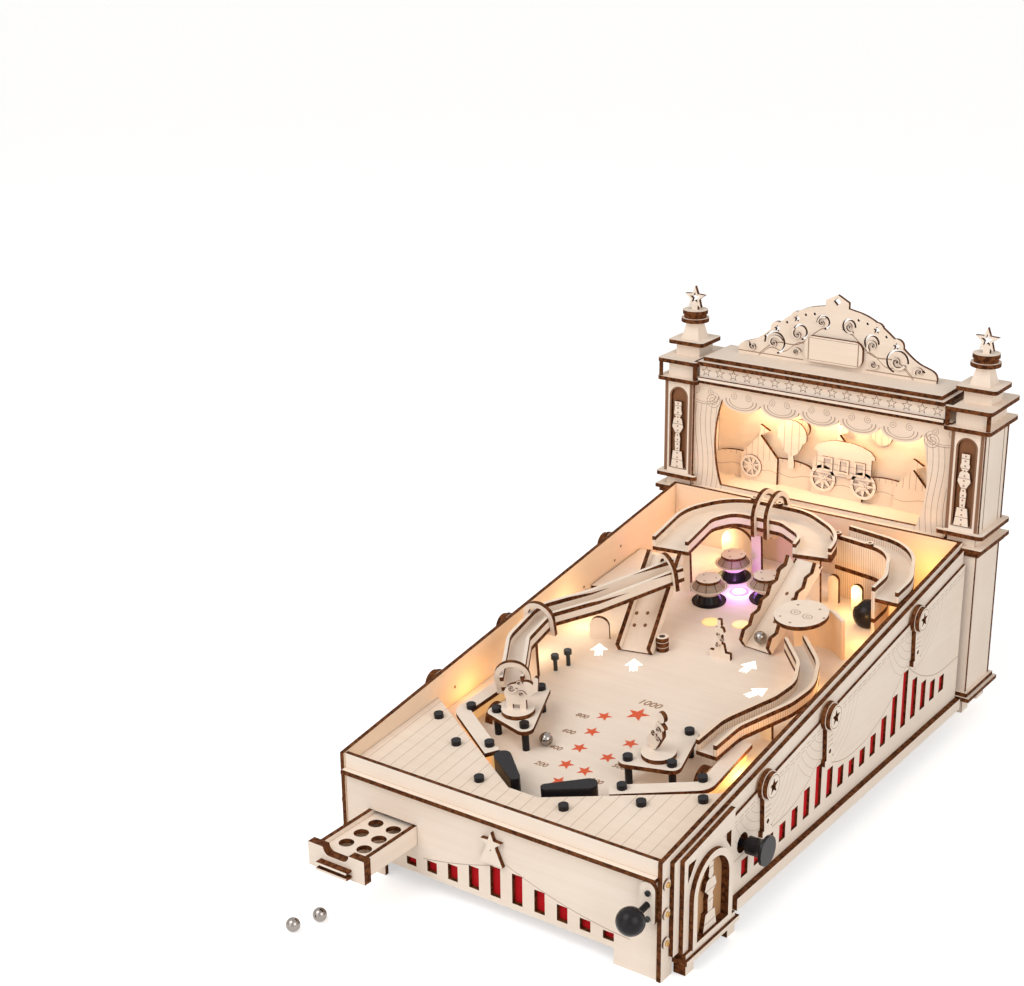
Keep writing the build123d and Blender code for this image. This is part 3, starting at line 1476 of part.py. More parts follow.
with BuildPart() as scenery:
    with BuildSketch(front.offset(ply - stage_back)):
        bar(-stage_half, stage_half, stage_height, stage_height + hill_height)
        for hill in range(hill_wave_count):
            across = stage_half * (2 * (hill + 1 / 2) / hill_wave_count - 1)
            with Locations((across, stage_height + hill_height)):
                Ellipse(stage_half / hill_wave_count, hill_wave)
        for u_share, v_share, reach_share in balloon_shares:
            with Locations((u_share * stage_half, stage_height + v_share * stage_room)):
                Circle(reach_share * stage_room)
    extrude(amount=ply)
    with BuildSketch(front.offset(2 * ply - stage_back)):
        for u_share, width_share, top_share in tent_shares:
            middle = u_share * stage_half
            half_tent = width_share * stage_half / 2
            top = stage_height + top_share * stage_room
            eaves = stage_height + (top - stage_height) * (1 - tent_roof_share)
            Polygon((middle - half_tent, stage_height), (middle + half_tent, stage_height),
                    (middle + half_tent, eaves), (middle, top), (middle - half_tent, eaves), align=None)
            mast = pennant_share * stage_room
            Polygon((middle - card / 2, top - mast), (middle + card / 2, top - mast), (middle + card / 2, top),
                    (middle + mast, top + mast / 2), (middle + card / 2, top + mast),
                    (middle - card / 2, top + mast), align=None)
    extrude(amount=ply)

with BuildPart() as stage_front:
    with BuildSketch(front.offset(-stage_front_face - ply)):
        bar(-stage_half, stage_half, stage_height, stage_ceiling)
        half_opening = opening_width / 2
        sill = stage_height + opening_sill
        waist = (sill + valance_height) / 2
        with BuildLine():
            Line((-half_opening, sill), (half_opening, sill))
            ThreePointArc((half_opening, sill), (half_opening + opening_pinch, waist),
                          (half_opening, valance_height))
            Line((half_opening, valance_height), (-half_opening, valance_height))
            ThreePointArc((-half_opening, valance_height), (-half_opening - opening_pinch, waist),
                          (-half_opening, sill))
        make_face(mode=Mode.SUBTRACT)
        for lobe in range(valance_lobes):
            across = half_opening * (2 * (lobe + 1 / 2) / valance_lobes - 1)
            with Locations((across, valance_height)):
                Ellipse(half_opening / valance_lobes, valance_lobe_depth)
    extrude(amount=ply)

fascia_foot = stage_ceiling + ply
fascia_top = fascia_foot + fascia_height

with BuildPart() as entablature:
    with BuildSketch(front.offset(-cabinet_length - ply)):
        bar(-cornice_half_width, cornice_half_width, fascia_foot, fascia_top)
    extrude(amount=ply)
    with BuildSketch(front.offset(-cabinet_length)):
        bar(-cornice_half_width, cornice_half_width, fascia_foot, fascia_foot + lath_height)
    extrude(amount=lath_reach)
    with BuildSketch(table.offset(fascia_top)):
        bar(-cornice_half_width, cornice_half_width, cabinet_length - stage_setback, stage_back)
    extrude(amount=ply)
    with BuildSketch(table.offset(fascia_top + ply)):
        bar(-cornice_half_width + ply, cornice_half_width - ply, cabinet_length, stage_back - ply)
    extrude(amount=ply)
    with BuildSketch(front.offset(-stage_back)):
        bar(-cornice_half_width, cornice_half_width, fascia_foot, fascia_top)
    extrude(amount=ply)

pediment_foot = fascia_top + 2 * ply
pediment_place = -cabinet_length - pediment_depth

with BuildPart() as pediment:
    with BuildSketch(front.offset(pediment_place - ply)):
        right_edge = [(x * pediment_half_width, pediment_foot + y * pediment_height) for x, y in pediment_shares]
        left_edge = [(-x, y) for x, y in reversed(right_edge)]
        apex = (0, pediment_foot + pediment_apex_share * pediment_height)
        with BuildLine():
            Spline(*right_edge[:6])
            Polyline(*right_edge[5:], apex, *left_edge[:3])
            Spline(*left_edge[2:])
            Line(left_edge[-1], right_edge[0])
        make_face()
        for mirror_side in (-1, 1):
            for x, y in pediment_star_shares:
                with Locations((mirror_side * x * pediment_half_width, pediment_foot + y * pediment_height)):
                    Circle(pediment_lobe_radius)
                    star(pediment_star_radius, Mode.SUBTRACT)
            for x, y in pediment_dot_shares:
                with Locations((mirror_side * x * pediment_half_width, pediment_foot + y * pediment_height)):
                    Circle(pediment_dot_radius, mode=Mode.SUBTRACT)
            for x, y, reach in scroll_places_shares:
                middle = (mirror_side * x * pediment_half_width, pediment_foot + y * pediment_height)
                with BuildLine(mode=Mode.PRIVATE) as scroll:
                    CenterArc(middle, reach * pediment_height, 90 - mirror_side * 90, mirror_side * scroll_arc)
                SlotArc(scroll.edges()[0], scroll_slot, mode=Mode.SUBTRACT)
        with Locations((0, pediment_foot + (pediment_shares[-1][1]) * pediment_height)):
            Rectangle(diamond_share * pediment_half_width, diamond_share * pediment_half_width, rotation=45,
                      mode=Mode.SUBTRACT)
    extrude(amount=ply)
    with BuildSketch(front.offset(pediment_place)):
        with Locations((0, pediment_foot + cartouche_foot + cartouche_height / 2)):
            RectangleRounded(cartouche_width, cartouche_height, cartouche_height / 3)
    extrude(amount=ply)

pieces = {
    "base_floor": base_floor, "side_walls": side_walls, "side_claddings": side_claddings,
    "side_swag_panels": side_swag_panels, "red_liners": red_liners, "side_corbels": side_corbels,
    "base_rails": base_rails, "niche_frames": niche_frames, "niche_backs": niche_backs,
    "niche_figures": niche_figures, "front_panel": front_panel, "front_trim": front_trim,
    "back_panel": back_panel, "playfield": playfield, "apron": apron, "amber_walls": amber_walls,
    "lane_guides": lane_guides, "sling_plates": sling_plates, "play_bolts": play_bolts,
    "play_figures": play_figures, "ramps": ramps, "upper_track_floors": upper_track_floors,
    "upper_track_walls": upper_track_walls, "side_track_floors": side_track_floors,
    "side_track_walls": side_track_walls, "track_posts": track_posts, "track_hoops": track_hoops,
    "bumper_bases": bumper_bases, "bumper_caps": bumper_caps, "black_domes": black_domes,
    "targets": targets, "hood": hood, "ball_lanes": ball_lanes, "left_flipper": left_flipper,
    "right_flipper": right_flipper, "left_crank": left_crank, "right_crank": right_crank,
    "left_button": left_button, "right_button": right_button, "left_push_rod": left_push_rod,
    "right_push_rod": right_push_rod, "left_return_spring": left_return_spring,
    "right_return_spring": right_return_spring, "plunger": plunger, "plunger_spring": plunger_spring,
    "drawer_front": drawer_front, "drawer_tray": drawer_tray, "guide_blocks": guide_blocks,
    "steel_balls": steel_balls, "battery_box": battery_box, "sound_board": sound_board,
    "power_switch": power_switch, "pillar_shafts": pillar_shafts, "pillar_plates": pillar_plates,
    "stars": stars, "stage_box": stage_box, "scenery": scenery, "stage_front": stage_front,
    "entablature": entablature, "pediment": pediment,
}
for label, piece in pieces.items():
    write(piece, label)
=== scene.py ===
"""Looks of a tabletop pinball game cut from plywood sheet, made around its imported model."""

import json
import math
from functools import reduce

import bmesh
import bpy
from bpy.props import FloatProperty, FloatVectorProperty, PointerProperty
from mathutils import Matrix, Quaternion, Vector


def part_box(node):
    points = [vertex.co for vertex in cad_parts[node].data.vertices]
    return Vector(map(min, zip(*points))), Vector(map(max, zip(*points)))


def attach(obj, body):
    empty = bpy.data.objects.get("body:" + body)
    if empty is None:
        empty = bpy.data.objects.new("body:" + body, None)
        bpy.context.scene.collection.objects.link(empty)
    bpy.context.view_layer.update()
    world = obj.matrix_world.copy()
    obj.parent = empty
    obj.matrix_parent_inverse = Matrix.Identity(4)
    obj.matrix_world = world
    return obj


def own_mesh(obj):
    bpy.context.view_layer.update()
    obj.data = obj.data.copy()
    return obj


bl_info = {
    "name": "Plywood pinball game",
    "version": (1, 0, 0),
    "blender": (4, 5, 0),
    "location": "3D View > Sidebar > Pinball",
    "description": "Wood, lit pieces, playfield marks and studio of a plywood pinball game",
    "category": "Object",
}

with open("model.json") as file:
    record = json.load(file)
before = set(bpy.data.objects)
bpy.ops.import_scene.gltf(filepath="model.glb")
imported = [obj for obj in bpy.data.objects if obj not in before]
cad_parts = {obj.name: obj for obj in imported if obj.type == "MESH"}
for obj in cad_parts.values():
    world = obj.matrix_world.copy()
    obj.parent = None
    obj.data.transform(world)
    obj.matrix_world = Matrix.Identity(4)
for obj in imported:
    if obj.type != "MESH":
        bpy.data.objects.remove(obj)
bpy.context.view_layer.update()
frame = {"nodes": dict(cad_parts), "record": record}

# Lengths in the tables and rules are in millimetres; properties and tools take metres
MM = 0.001
BODY = "cabinet"
ORIGIN = (0, 0, 0)
ACROSS = Vector((1, 0, 0))
BACK = Vector((0, 1, 0))
UP = Vector((0, 0, 1))
WALL_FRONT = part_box("side_walls")[0].y / MM
WALL_MIDDLE = 116
WALL_OUTSIDE = 117.5
FIELD_RISE = 55.5
FIELD_SLOPE = math.radians(5.63)
RAMP_CLIMB = math.radians(32)
FIELD_NORMAL = Matrix.Rotation(FIELD_SLOPE, 3, "X") @ UP
FIELD_ALONG = Matrix.Rotation(FIELD_SLOPE, 3, "X") @ BACK
RAMP_NORMAL = Matrix.Rotation(FIELD_SLOPE + RAMP_CLIMB, 3, "X") @ UP
FIELD_START = Vector((0, WALL_FRONT, FIELD_RISE)) * MM
FIELD_PLACE = Matrix.Translation(FIELD_START) @ Matrix.Rotation(FIELD_SLOPE, 4, "X")
STAR_INNER_SHARE = 0.42
FACING_SHARE = 0.7
FACING_UP_SHARE = 0.9
END_SHARE = 0.9
MERGE_REACH = 1e-6

# Camera: its place and reach in metres, its lens and sensor in millimetres
CAMERA_PLACE = Vector((0.578525, -0.958067, 0.617285))
CAMERA_TURN = Quaternion((0.784417, 0.535379, 0.184314, 0.253154))
CAMERA_LENS = 65.401
CAMERA_SENSOR = 36
CAMERA_SHIFT = (0.028938, 0.045391)
CAMERA_REACH = 50


def field_spot(across, along, above=0.0):
    """A point in metres, given in millimetres across, along and above the sloping playfield."""
    return FIELD_PLACE @ (Vector((across, along, above)) * MM)


def spot(across, back, height):
    """A point in metres, given in millimetres from the middle, the wall fronts and the table."""
    return Vector((across, WALL_FRONT + back, height)) * MM


class Wire:
    """A node's output whose arithmetic adds Math nodes to its finish."""

    def __init__(self, finish, socket):
        self.finish = finish
        self.socket = socket

    def math(self, operation, *others):
        sockets = dict(enumerate((self,) + others))
        return self.finish.node("ShaderNodeMath", {"operation": operation}, sockets)

    def turned(self, operation, other):
        return self.finish.node("ShaderNodeMath", {"operation": operation}, {0: other, 1: self})

    def __add__(self, other):
        return self.math("ADD", other)

    def __sub__(self, other):
        return self.math("SUBTRACT", other)

    def __mul__(self, other):
        return self.math("MULTIPLY", other)

    def __truediv__(self, other):
        return self.math("DIVIDE", other)

    def __pow__(self, other):
        return self.math("POWER", other)

    def most(self, other):
        return self.math("MAXIMUM", other)

    def least(self, other):
        return self.math("MINIMUM", other)

    def __lt__(self, other):
        return self.math("LESS_THAN", other)

    def __gt__(self, other):
        return self.math("GREATER_THAN", other)

    def __rsub__(self, other):
        return self.turned("SUBTRACT", other)

    def __rtruediv__(self, other):
        return self.turned("DIVIDE", other)

    def __abs__(self):
        return self.math("ABSOLUTE")

    __radd__ = __add__
    __rmul__ = __mul__


def any_of(*marks):
    """Mark that shows wherever one of the marks does."""
    return reduce(Wire.most, marks)


def between(value, low, high):
    """1 where a value lies between two limits, and 0 elsewhere."""
    return (value > low) * (value < high)


def reach_from(first, second, middle=(0, 0)):
    """Distance of two coordinates from a middle."""
    return ((first - middle[0]) ** 2 + (second - middle[1]) ** 2) ** 0.5


def wave(value, rate, swing):
    """Sine wave along a value."""
    return (value * rate).math("SINE") * swing


def lobe(value, middle, half_width, depth):
    """Rounded swell of a cloth's hem."""
    return (1 - abs(value - middle) / half_width).most(0) ** 2 * depth


class Finish:
    """A material or world being mixed; node() adds any node to it."""

    def __init__(self, name, owner=None):
        self.owner = owner or bpy.data.materials.new(name)
        self.owner.use_nodes = True
        self.tree = self.owner.node_tree

    def node(self, kind, settings=None, sockets=None, out=0):
        made = self.tree.nodes.new(kind)
        for name, value in (settings or {}).items():
            setattr(made, name, value)
        for key, value in (sockets or {}).items():
            self.feed(made.inputs[key], value)
        return Wire(self, made.outputs[out])

    def feed(self, socket, value):
        if isinstance(value, Wire):
            self.tree.links.new(value.socket, socket)
        elif hasattr(value, "__len__") and len(value) == 3 and socket.type == "RGBA":
            socket.default_value = (*value, 1)
        else:
            socket.default_value = value

    def surface(self, **sockets):
        """Feeds the sockets of the material's own shader, and gives the material."""
        inputs = self.tree.nodes["Principled BSDF"].inputs
        for key, value in sockets.items():
            self.feed(inputs[key.replace("_", " ").title().replace("Ior", "IOR")], value)
        return self.owner

    def mix(self, share, low, high):
        return self.node("ShaderNodeMix", {"data_type": "RGBA"}, {0: share, 6: low, 7: high}, 2)

    def ramp(self, value, low, high):
        settings = {"interpolation_type": "SMOOTHSTEP", "clamp": True}
        return self.node("ShaderNodeMapRange", settings, {0: value, 1: low, 2: high})

    def vector(self, operation, first, second, out=0):
        return self.node("ShaderNodeVectorMath", {"operation": operation}, {0: first, 1: second}, out)

    def place(self, lying=False):
        """Millimetres across, back and up from the wall fronts, or across, along and above the playfield."""
        turn = -FIELD_SLOPE if lying else 0.0
        start = Vector((0, WALL_FRONT, FIELD_RISE if lying else 0))
        shift = -(Matrix.Rotation(turn, 3, "X") @ start)
        raw = self.node("ShaderNodeTexCoord", out=3)
        sockets = {"Vector": raw, "Location": shift, "Rotation": (turn, 0, 0), "Scale": (1 / MM,) * 3}
        return self.node("ShaderNodeMapping", {"vector_type": "POINT"}, sockets)

    def parts(self, vector):
        made = self.tree.nodes.new("ShaderNodeSeparateXYZ")
        self.feed(made.inputs[0], vector)
        return [Wire(self, output) for output in made.outputs]

    def normal_share(self, direction):
        """How far the surface faces along a direction, from 0 to 1."""
        normal = self.node("ShaderNodeTexCoord", out=1)
        return abs(self.vector("DOT_PRODUCT", normal, tuple(direction), 1))

    def seen(self):
        """1 for what the camera sees by itself, in a gloss or through a clear piece."""
        rays = self.tree.nodes.new("ShaderNodeLightPath").outputs
        kinds = ("Camera", "Glossy", "Transmission")
        return any_of(*[Wire(self, rays[f"Is {kind} Ray"]) for kind in kinds])

    def noise(self, vector, scale, detail=2.0, rough=0.5, stretch=(1, 1, 1)):
        pulled = self.vector("MULTIPLY", vector, tuple(scale * part for part in stretch))
        sockets = {"Vector": pulled, "Scale": 1.0, "Detail": detail, "Roughness": rough}
        return self.node("ShaderNodeTexNoise", {}, sockets)

    def line(self, distance, width):
        """1 where a distance is nought, falling to 0 at half the width."""
        return 1 - self.ramp(abs(distance), width / 4, width / 2)

    def stripes(self, value, pitch, width):
        return self.line(value.math("PINGPONG", pitch / 2), width)

    def spiral(self, first, second, radius, pitch, width):
        """A spiral line round the nought of two distances."""
        reach = reach_from(first, second)
        phase = reach / pitch - first.math("ARCTAN2", second) / math.tau
        return self.line(phase.math("WRAP", 0.5, -0.5) * pitch, width) * (reach < radius)

    def star_line(self, first, second, radius, width):
        """The outline of a five-pointed star round the nought of two distances."""
        reach = reach_from(first, second)
        fold = first.math("ARCTAN2", second).math("PINGPONG", math.pi / 5)
        tip = Vector((radius, 0))
        inner = Vector((math.cos(math.pi / 5), math.sin(math.pi / 5))) * radius * STAR_INNER_SHARE
        run = (inner - tip).normalized()
        edge = (reach * fold.math("COSINE") - tip.x) * run.y - reach * fold.math("SINE") * run.x
        return self.line(edge, width)

    def dots(self, first, second, spots, radius, firm_share=0.8):
        """Round spots at a list of places."""
        reaches = [reach_from(first, second, middle) for middle in spots]
        return any_of(*[1 - self.ramp(reach, radius * firm_share, radius) for reach in reaches])

    def bump(self, height, distance, strength):
        sockets = {"Height": height, "Distance": distance, "Strength": strength}
        return self.node("ShaderNodeBump", {}, sockets)


def colours():
    return bpy.context.scene.pinball_colours


def sizes():
    return bpy.context.scene.pinball_sizes


def studio():
    return bpy.context.scene.pinball_studio


def faces(*directions):
    """Rule that counts as sheet face what looks along one of the directions, and as cut edge the rest."""

    def rule(finish, *place):
        return any_of(*[finish.normal_share(direction) for direction in directions])

    return rule


def upright(finish, *place):
    """Rule for bent strips that stand on the playfield: their tops are cut edges."""
    return 1 - finish.normal_share(FIELD_NORMAL)


def beyond(part, limit):
    """Test of whether one part of the place is over a limit."""
    return lambda *place: place[part] > limit


def split(test, low, high):
    """Rule that follows one rule or another, as a test of the place says."""

    def rule(finish, *place):
        chosen = test(*place)
        return low(finish, *place) * (1 - chosen) + high(finish, *place) * chosen

    return rule


SIDE_FACES = faces(ACROSS)
FRONT_FACES = faces(BACK)
LEVEL_FACES = faces(UP)
FIELD_FACES = faces(FIELD_NORMAL)
UPRIGHT_FACES = faces(FIELD_ALONG)

# Grain, scorch and shine of the plywood sheet
GRAIN_ALONG = {"x": (0.012, 1, 1), "y": (1, 0.012, 1), "z": (1, 1, 0.012)}
FIBRE = {"scale": 0.9, "detail": 3.0, "rough": 0.62}
STREAK = {"scale": 0.16}
CLOUD = {"scale": 0.022}
SCORCH = {"scale": 0.35, "rough": 0.6}
FIBRE_SHARE, STREAK_SHARE, CLOUD_SHARE = 0.42, 0.4, 0.5
TONE_RANGE = (0.42, 0.9)
SCORCH_RANGE = (0.3, 0.7)
FACE_RANGE = (0.55, 0.75)
FIBRE_RELIEF, ENGRAVED_RELIEF = 0.4, 1.4
SHEET_ROUGHNESS, FIBRE_ROUGHNESS = 0.55, 0.16
SHEET_SHINE = 0.06
GRAIN_STRENGTH = 0.5
# Height above the playfield below which lying pieces get painted lamplight
LIT_BELOW = 29


def plywood(name, rule, grain="x", lying=False, engraving=None, depth=0.75, warm=0.0):
    """Pale sheet with fine grain on its faces and scorched brown on its cut edges; warm is the share of
    painted lamplight, an amber tint on the faces inside the cabinet.
    """
    finish = Finish(name)
    paint = colours()
    place = finish.place(lying)
    fibre = finish.noise(place, **FIBRE, stretch=GRAIN_ALONG[grain])
    streak = finish.noise(place, **STREAK, stretch=GRAIN_ALONG[grain])
    cloud = finish.noise(place, **CLOUD)
    tone = finish.ramp(fibre * FIBRE_SHARE + streak * STREAK_SHARE + cloud * CLOUD_SHARE, *TONE_RANGE)
    face = finish.mix(tone, paint.face_pale, paint.face_warm)
    height = fibre * FIBRE_RELIEF
    parts = finish.parts(place)
    # Painted lamplight: faces within the side walls, and lying pieces only below LIT_BELOW, are tinted
    # towards face_lit as the lamps inside would light them
    if warm:
        inside = abs(parts[0]) < WALL_MIDDLE
        if lying:
            inside = inside * (parts[2] < LIT_BELOW)
        face = finish.mix(inside * warm, face, paint.face_lit)
    if engraving:
        mark = engraving(finish, *parts)
        face = finish.mix(mark * depth, face, paint.engraved)
        height = height - mark * ENGRAVED_RELIEF
    scorch = finish.ramp(finish.noise(place, **SCORCH), *SCORCH_RANGE)
    brown = finish.mix(scorch, paint.edge_dark, paint.edge_warm)
    cut = 1 - finish.ramp(rule(finish, *parts), *FACE_RANGE)
    return finish.surface(
        base_color=finish.mix(cut, face, brown),
        roughness=SHEET_ROUGHNESS + fibre * FIBRE_ROUGHNESS,
        specular_ior_level=SHEET_SHINE,
        normal=finish.bump(height, distance=sizes().grain_depth, strength=GRAIN_STRENGTH),
    )


def speckled(name, low, high, rough, spread, scale, detail=3.0, blur=0.6, **sockets):
    """Finish that drifts between two tones, and in its roughness."""
    finish = Finish(name)
    speck = finish.noise(finish.place(), scale, detail, blur)
    tone = finish.mix(speck, low, high)
    return finish.surface(base_color=tone, roughness=rough + speck * spread, **sockets)


def glowing(name, low, high, strength, rough, spread=0.0, scale=0.3):
    """Lit finish that drifts between two tones."""
    finish = Finish(name)
    speck = finish.noise(finish.place(), scale)
    lit = finish.mix(speck, low, high)
    if spread:
        rough = rough + speck * spread
    return finish.surface(base_color=lit, roughness=rough, emission_color=lit, emission_strength=strength)


def dress(material, *nodes):
    """Gives CAD nodes a finish in place of their plain one."""
    for node in nodes:
        for slot in frame["nodes"][node].material_slots:
            slot.material = material


def begin(kind, name, **how):
    """Adds a primitive by itself and opens it for shaping."""
    bpy.ops.object.select_all(action="DESELECT")
    getattr(bpy.ops.mesh, f"primitive_{kind}_add")(**how)
    piece = bpy.context.object
    piece.name = piece.data.name = name
    bpy.ops.object.mode_set(mode="EDIT")
    return piece


def pick(piece, kind, test):
    """Selects only the corners, edges or faces of an open piece that pass a test."""
    bpy.ops.mesh.select_mode(type=kind)
    bpy.ops.mesh.select_all(action="DESELECT")
    mesh = bmesh.from_edit_mesh(piece.data)
    for part in {"VERT": mesh.verts, "EDGE": mesh.edges, "FACE": mesh.faces}[kind]:
        if test(part):
            part.select_set(True)
    mesh.select_flush_mode()
    bmesh.update_edit_mesh(piece.data)


def pick_edges(piece, test):
    """Selects only the edges of an open piece whose corners all pass a test."""
    pick(piece, "EDGE", lambda edge: all(test(corner.co) for corner in edge.verts))


def draw_out(move):
    bpy.ops.mesh.extrude_region_move(TRANSFORM_OT_translate={"value": move})


def resize(share, centre=ORIGIN):
    bpy.ops.transform.resize(value=share, center_override=centre)


def step_in(rim, move):
    """Leaves a rim round the picked face, and moves the rest of it up or down."""
    bpy.ops.mesh.inset(thickness=rim)
    draw_out((0, 0, move))


def round_off(offset):
    bpy.ops.mesh.bevel(offset=offset, segments=2, affect="EDGES")


def closed(piece):
    """Closes a shaped piece, with doubles merged and faces pointing outwards."""
    bpy.ops.mesh.select_all(action="SELECT")
    bpy.ops.mesh.remove_doubles(threshold=MERGE_REACH)
    bpy.ops.mesh.normals_make_consistent(inside=False)
    bpy.ops.object.mode_set(mode="OBJECT")
    return piece


def thickened(piece, thickness):
    """Draws an open flat piece out to a thickness and closes it."""
    pick(piece, "FACE", lambda face: True)
    draw_out((0, 0, thickness))
    return closed(piece)


def panel(name, width, height):
    """Opens a flat panel of a width and height."""
    piece = begin("plane", name, size=1, location=ORIGIN)
    bpy.ops.mesh.select_all(action="SELECT")
    resize((width, height, 1))
    return piece


def disc(name, radius, sides, fill="NGON"):
    """Opens a flat disc, or a ring of edges."""
    return begin("circle", name, vertices=sides, radius=radius, fill_type=fill, location=ORIGIN)


def faces_up(face):
    return face.normal.z > FACING_UP_SHARE


def stud(name, radius, height, sides, foot=0.0):
    """Opens a cylinder that stands on its foot, with its top picked."""
    piece = begin(
        "cylinder", name, vertices=sides, radius=radius, depth=height, location=(0, 0, foot + height / 2)
    )
    pick(piece, "FACE", faces_up)
    return piece


def joined(made, name):
    bpy.ops.object.select_all(action="DESELECT")
    for piece in made:
        piece.select_set(True)
    bpy.context.view_layer.objects.active = made[0]
    if len(made) > 1:
        bpy.ops.object.join()
    whole = bpy.context.object
    whole.name = whole.data.name = name
    return whole


def copies(piece, places):
    """Copies a piece to each place, with a mesh of its own, and joins the copies."""
    made = []
    for place in places:
        bpy.ops.object.select_all(action="DESELECT")
        piece.select_set(True)
        bpy.context.view_layer.objects.active = piece
        bpy.ops.object.duplicate()
        copy = bpy.context.object
        copy.matrix_world = place @ copy.matrix_world
        made.append(copy)
    name = piece.name
    bpy.data.objects.remove(piece)
    return joined(made, name)


def settle(piece, material, body=BODY):
    """Puts a piece's place into its mesh, and gives it a finish and a body to ride on."""
    bpy.ops.object.select_all(action="DESELECT")
    piece.select_set(True)
    bpy.context.view_layer.objects.active = piece
    bpy.ops.object.transform_apply(location=True, rotation=True, scale=True)
    piece.data.materials.clear()
    piece.data.materials.append(material)
    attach(piece, body)


def on_field(across, along, above=0.0, heading=0.0, share=1.0):
    """The place of a piece that lies on the playfield; heading turns it from along towards across."""
    there = Matrix.Translation(Vector((across, along, above)) * MM)
    return FIELD_PLACE @ there @ Matrix.Rotation(-heading, 4, "Z") @ Matrix.Scale(share, 4)


def on_wall(across, back, height, turn=0.0, share=1.0):
    """The place of a piece that stands upright and faces the front."""
    there = Matrix.Translation(spot(across, back, height)) @ Matrix.Rotation(math.pi / 2, 4, "X")
    return there @ Matrix.Rotation(turn, 4, "Z") @ Matrix.Scale(share, 4)


def on_side(side, back, height):
    """The place of a piece on a side wall's outside; side is 1 on the right and -1 on the left."""
    there = Matrix.Translation(spot(side * WALL_OUTSIDE, back, height))
    return there @ Matrix.Rotation(side * math.pi / 2, 4, "Y")


def colour(name, description, default):
    return FloatVectorProperty(name=name, description=description, subtype="COLOR", default=default)


def length(name, description, default):
    return FloatProperty(name=name, description=description, unit="LENGTH", precision=5, default=default)


def level(name, description, default):
    return FloatProperty(name=name, description=description, default=default)


class PinballColours(bpy.types.PropertyGroup):
    """Colours of the game's finishes."""

    face_pale: colour("Sheet, pale", "Palest tone of the sheet's faces", (0.90, 0.775, 0.66))
    face_warm: colour("Sheet, warm", "Warm tone of the sheet's grain", (0.845, 0.705, 0.585))
    # Painted lamplight: the tint that faces inside the cabinet take on, standing in for the lamps' light
    face_lit: colour("Sheet, lit", "Sheet inside the cabinet, by its lamps", (0.86, 0.55, 0.29))
    edge_dark: colour("Cut edge, dark", "Darkest scorch of the cut edges", (0.046, 0.013, 0.004))
    edge_warm: colour("Cut edge, warm", "Lightest scorch of the cut edges", (0.185, 0.062, 0.020))
    engraved: colour("Engraving", "Scorch of the engraved lines", (0.185, 0.068, 0.022))
    score_worn: colour("Numbers, worn", "Pale tone of the score numbers", (0.42, 0.24, 0.12))
    liner_red: colour("Liner", "Red sheet behind the slots", (0.62, 0.010, 0.016))
    liner_deep: colour("Liner, deep", "Deep tone of the red sheet", (0.44, 0.006, 0.010))
    niche_brown: colour("Niche", "Brown sheet behind the niche figures", (0.34, 0.155, 0.055))
    niche_pale: colour("Niche, pale", "Pale tone of the brown sheet", (0.50, 0.27, 0.12))
    pillar_brown: colour("Pillar niche", "Pale tone of the brown sheet in the pillars", (0.25, 0.10, 0.035))
    lit_amber: colour("Lit wall", "Amber of the lit walls", (1.0, 0.76, 0.40))
    lit_amber_deep: colour("Lit wall, deep", "Deep tone of the lit walls", (0.95, 0.52, 0.17))
    star_red: colour("Stars", "Red of the score stars", (0.80, 0.115, 0.03))
    star_worn: colour("Stars, worn", "Worn tone of the score stars", (0.60, 0.07, 0.02))
    arrow_white: colour("Arrows", "White of the lit arrows", (1.0, 0.98, 0.93))
    arrow_warm: colour("Arrows, warm", "Warm tone of the lit arrows", (1.0, 0.93, 0.82))
    disc_yellow: colour("Lit discs", "Yellow of the lit discs", (1.0, 0.80, 0.38))
    disc_deep: colour("Lit discs, deep", "Deep tone of the lit discs", (1.0, 0.66, 0.22))
    lens_white: colour("Bumper lens", "Middle of the lens between the bumpers", (1.0, 0.94, 1.0))
    lens_violet: colour("Bumper lens, rim", "Violet round that lens's middle", (0.50, 0.16, 0.92))
    gloss_black: colour("Black", "Gloss black of knobs, flippers and domes", (0.012, 0.010, 0.012))
    dusty_black: colour("Black, dusty", "Dusty tone of the gloss black", (0.016, 0.013, 0.013))
    case_black: colour("Case", "Matte black of the battery box and the switch", (0.02, 0.02, 0.022))
    case_grey: colour("Case, pale", "Pale tone of the matte black", (0.05, 0.05, 0.052))
    board_green: colour("Board", "Green of the sound board", (0.01, 0.12, 0.05))
    board_pale: colour("Board, pale", "Pale tone of the sound board", (0.02, 0.20, 0.09))
    wire_grey: colour("Wire", "Grey of the spring wire", (0.5, 0.5, 0.5))
    wire_pale: colour("Wire, pale", "Pale tone of the spring wire", (0.62, 0.62, 0.63))
    ball_steel: colour("Balls", "Steel of the balls", (0.36, 0.32, 0.295))
    ball_dark: colour("Balls, dark", "Dark tone of the balls", (0.27, 0.24, 0.22))
    brass: colour("Brass", "Brass of the wall screws", (0.72, 0.48, 0.20))
    brass_dull: colour("Brass, dull", "Dull tone of the brass", (0.50, 0.30, 0.10))


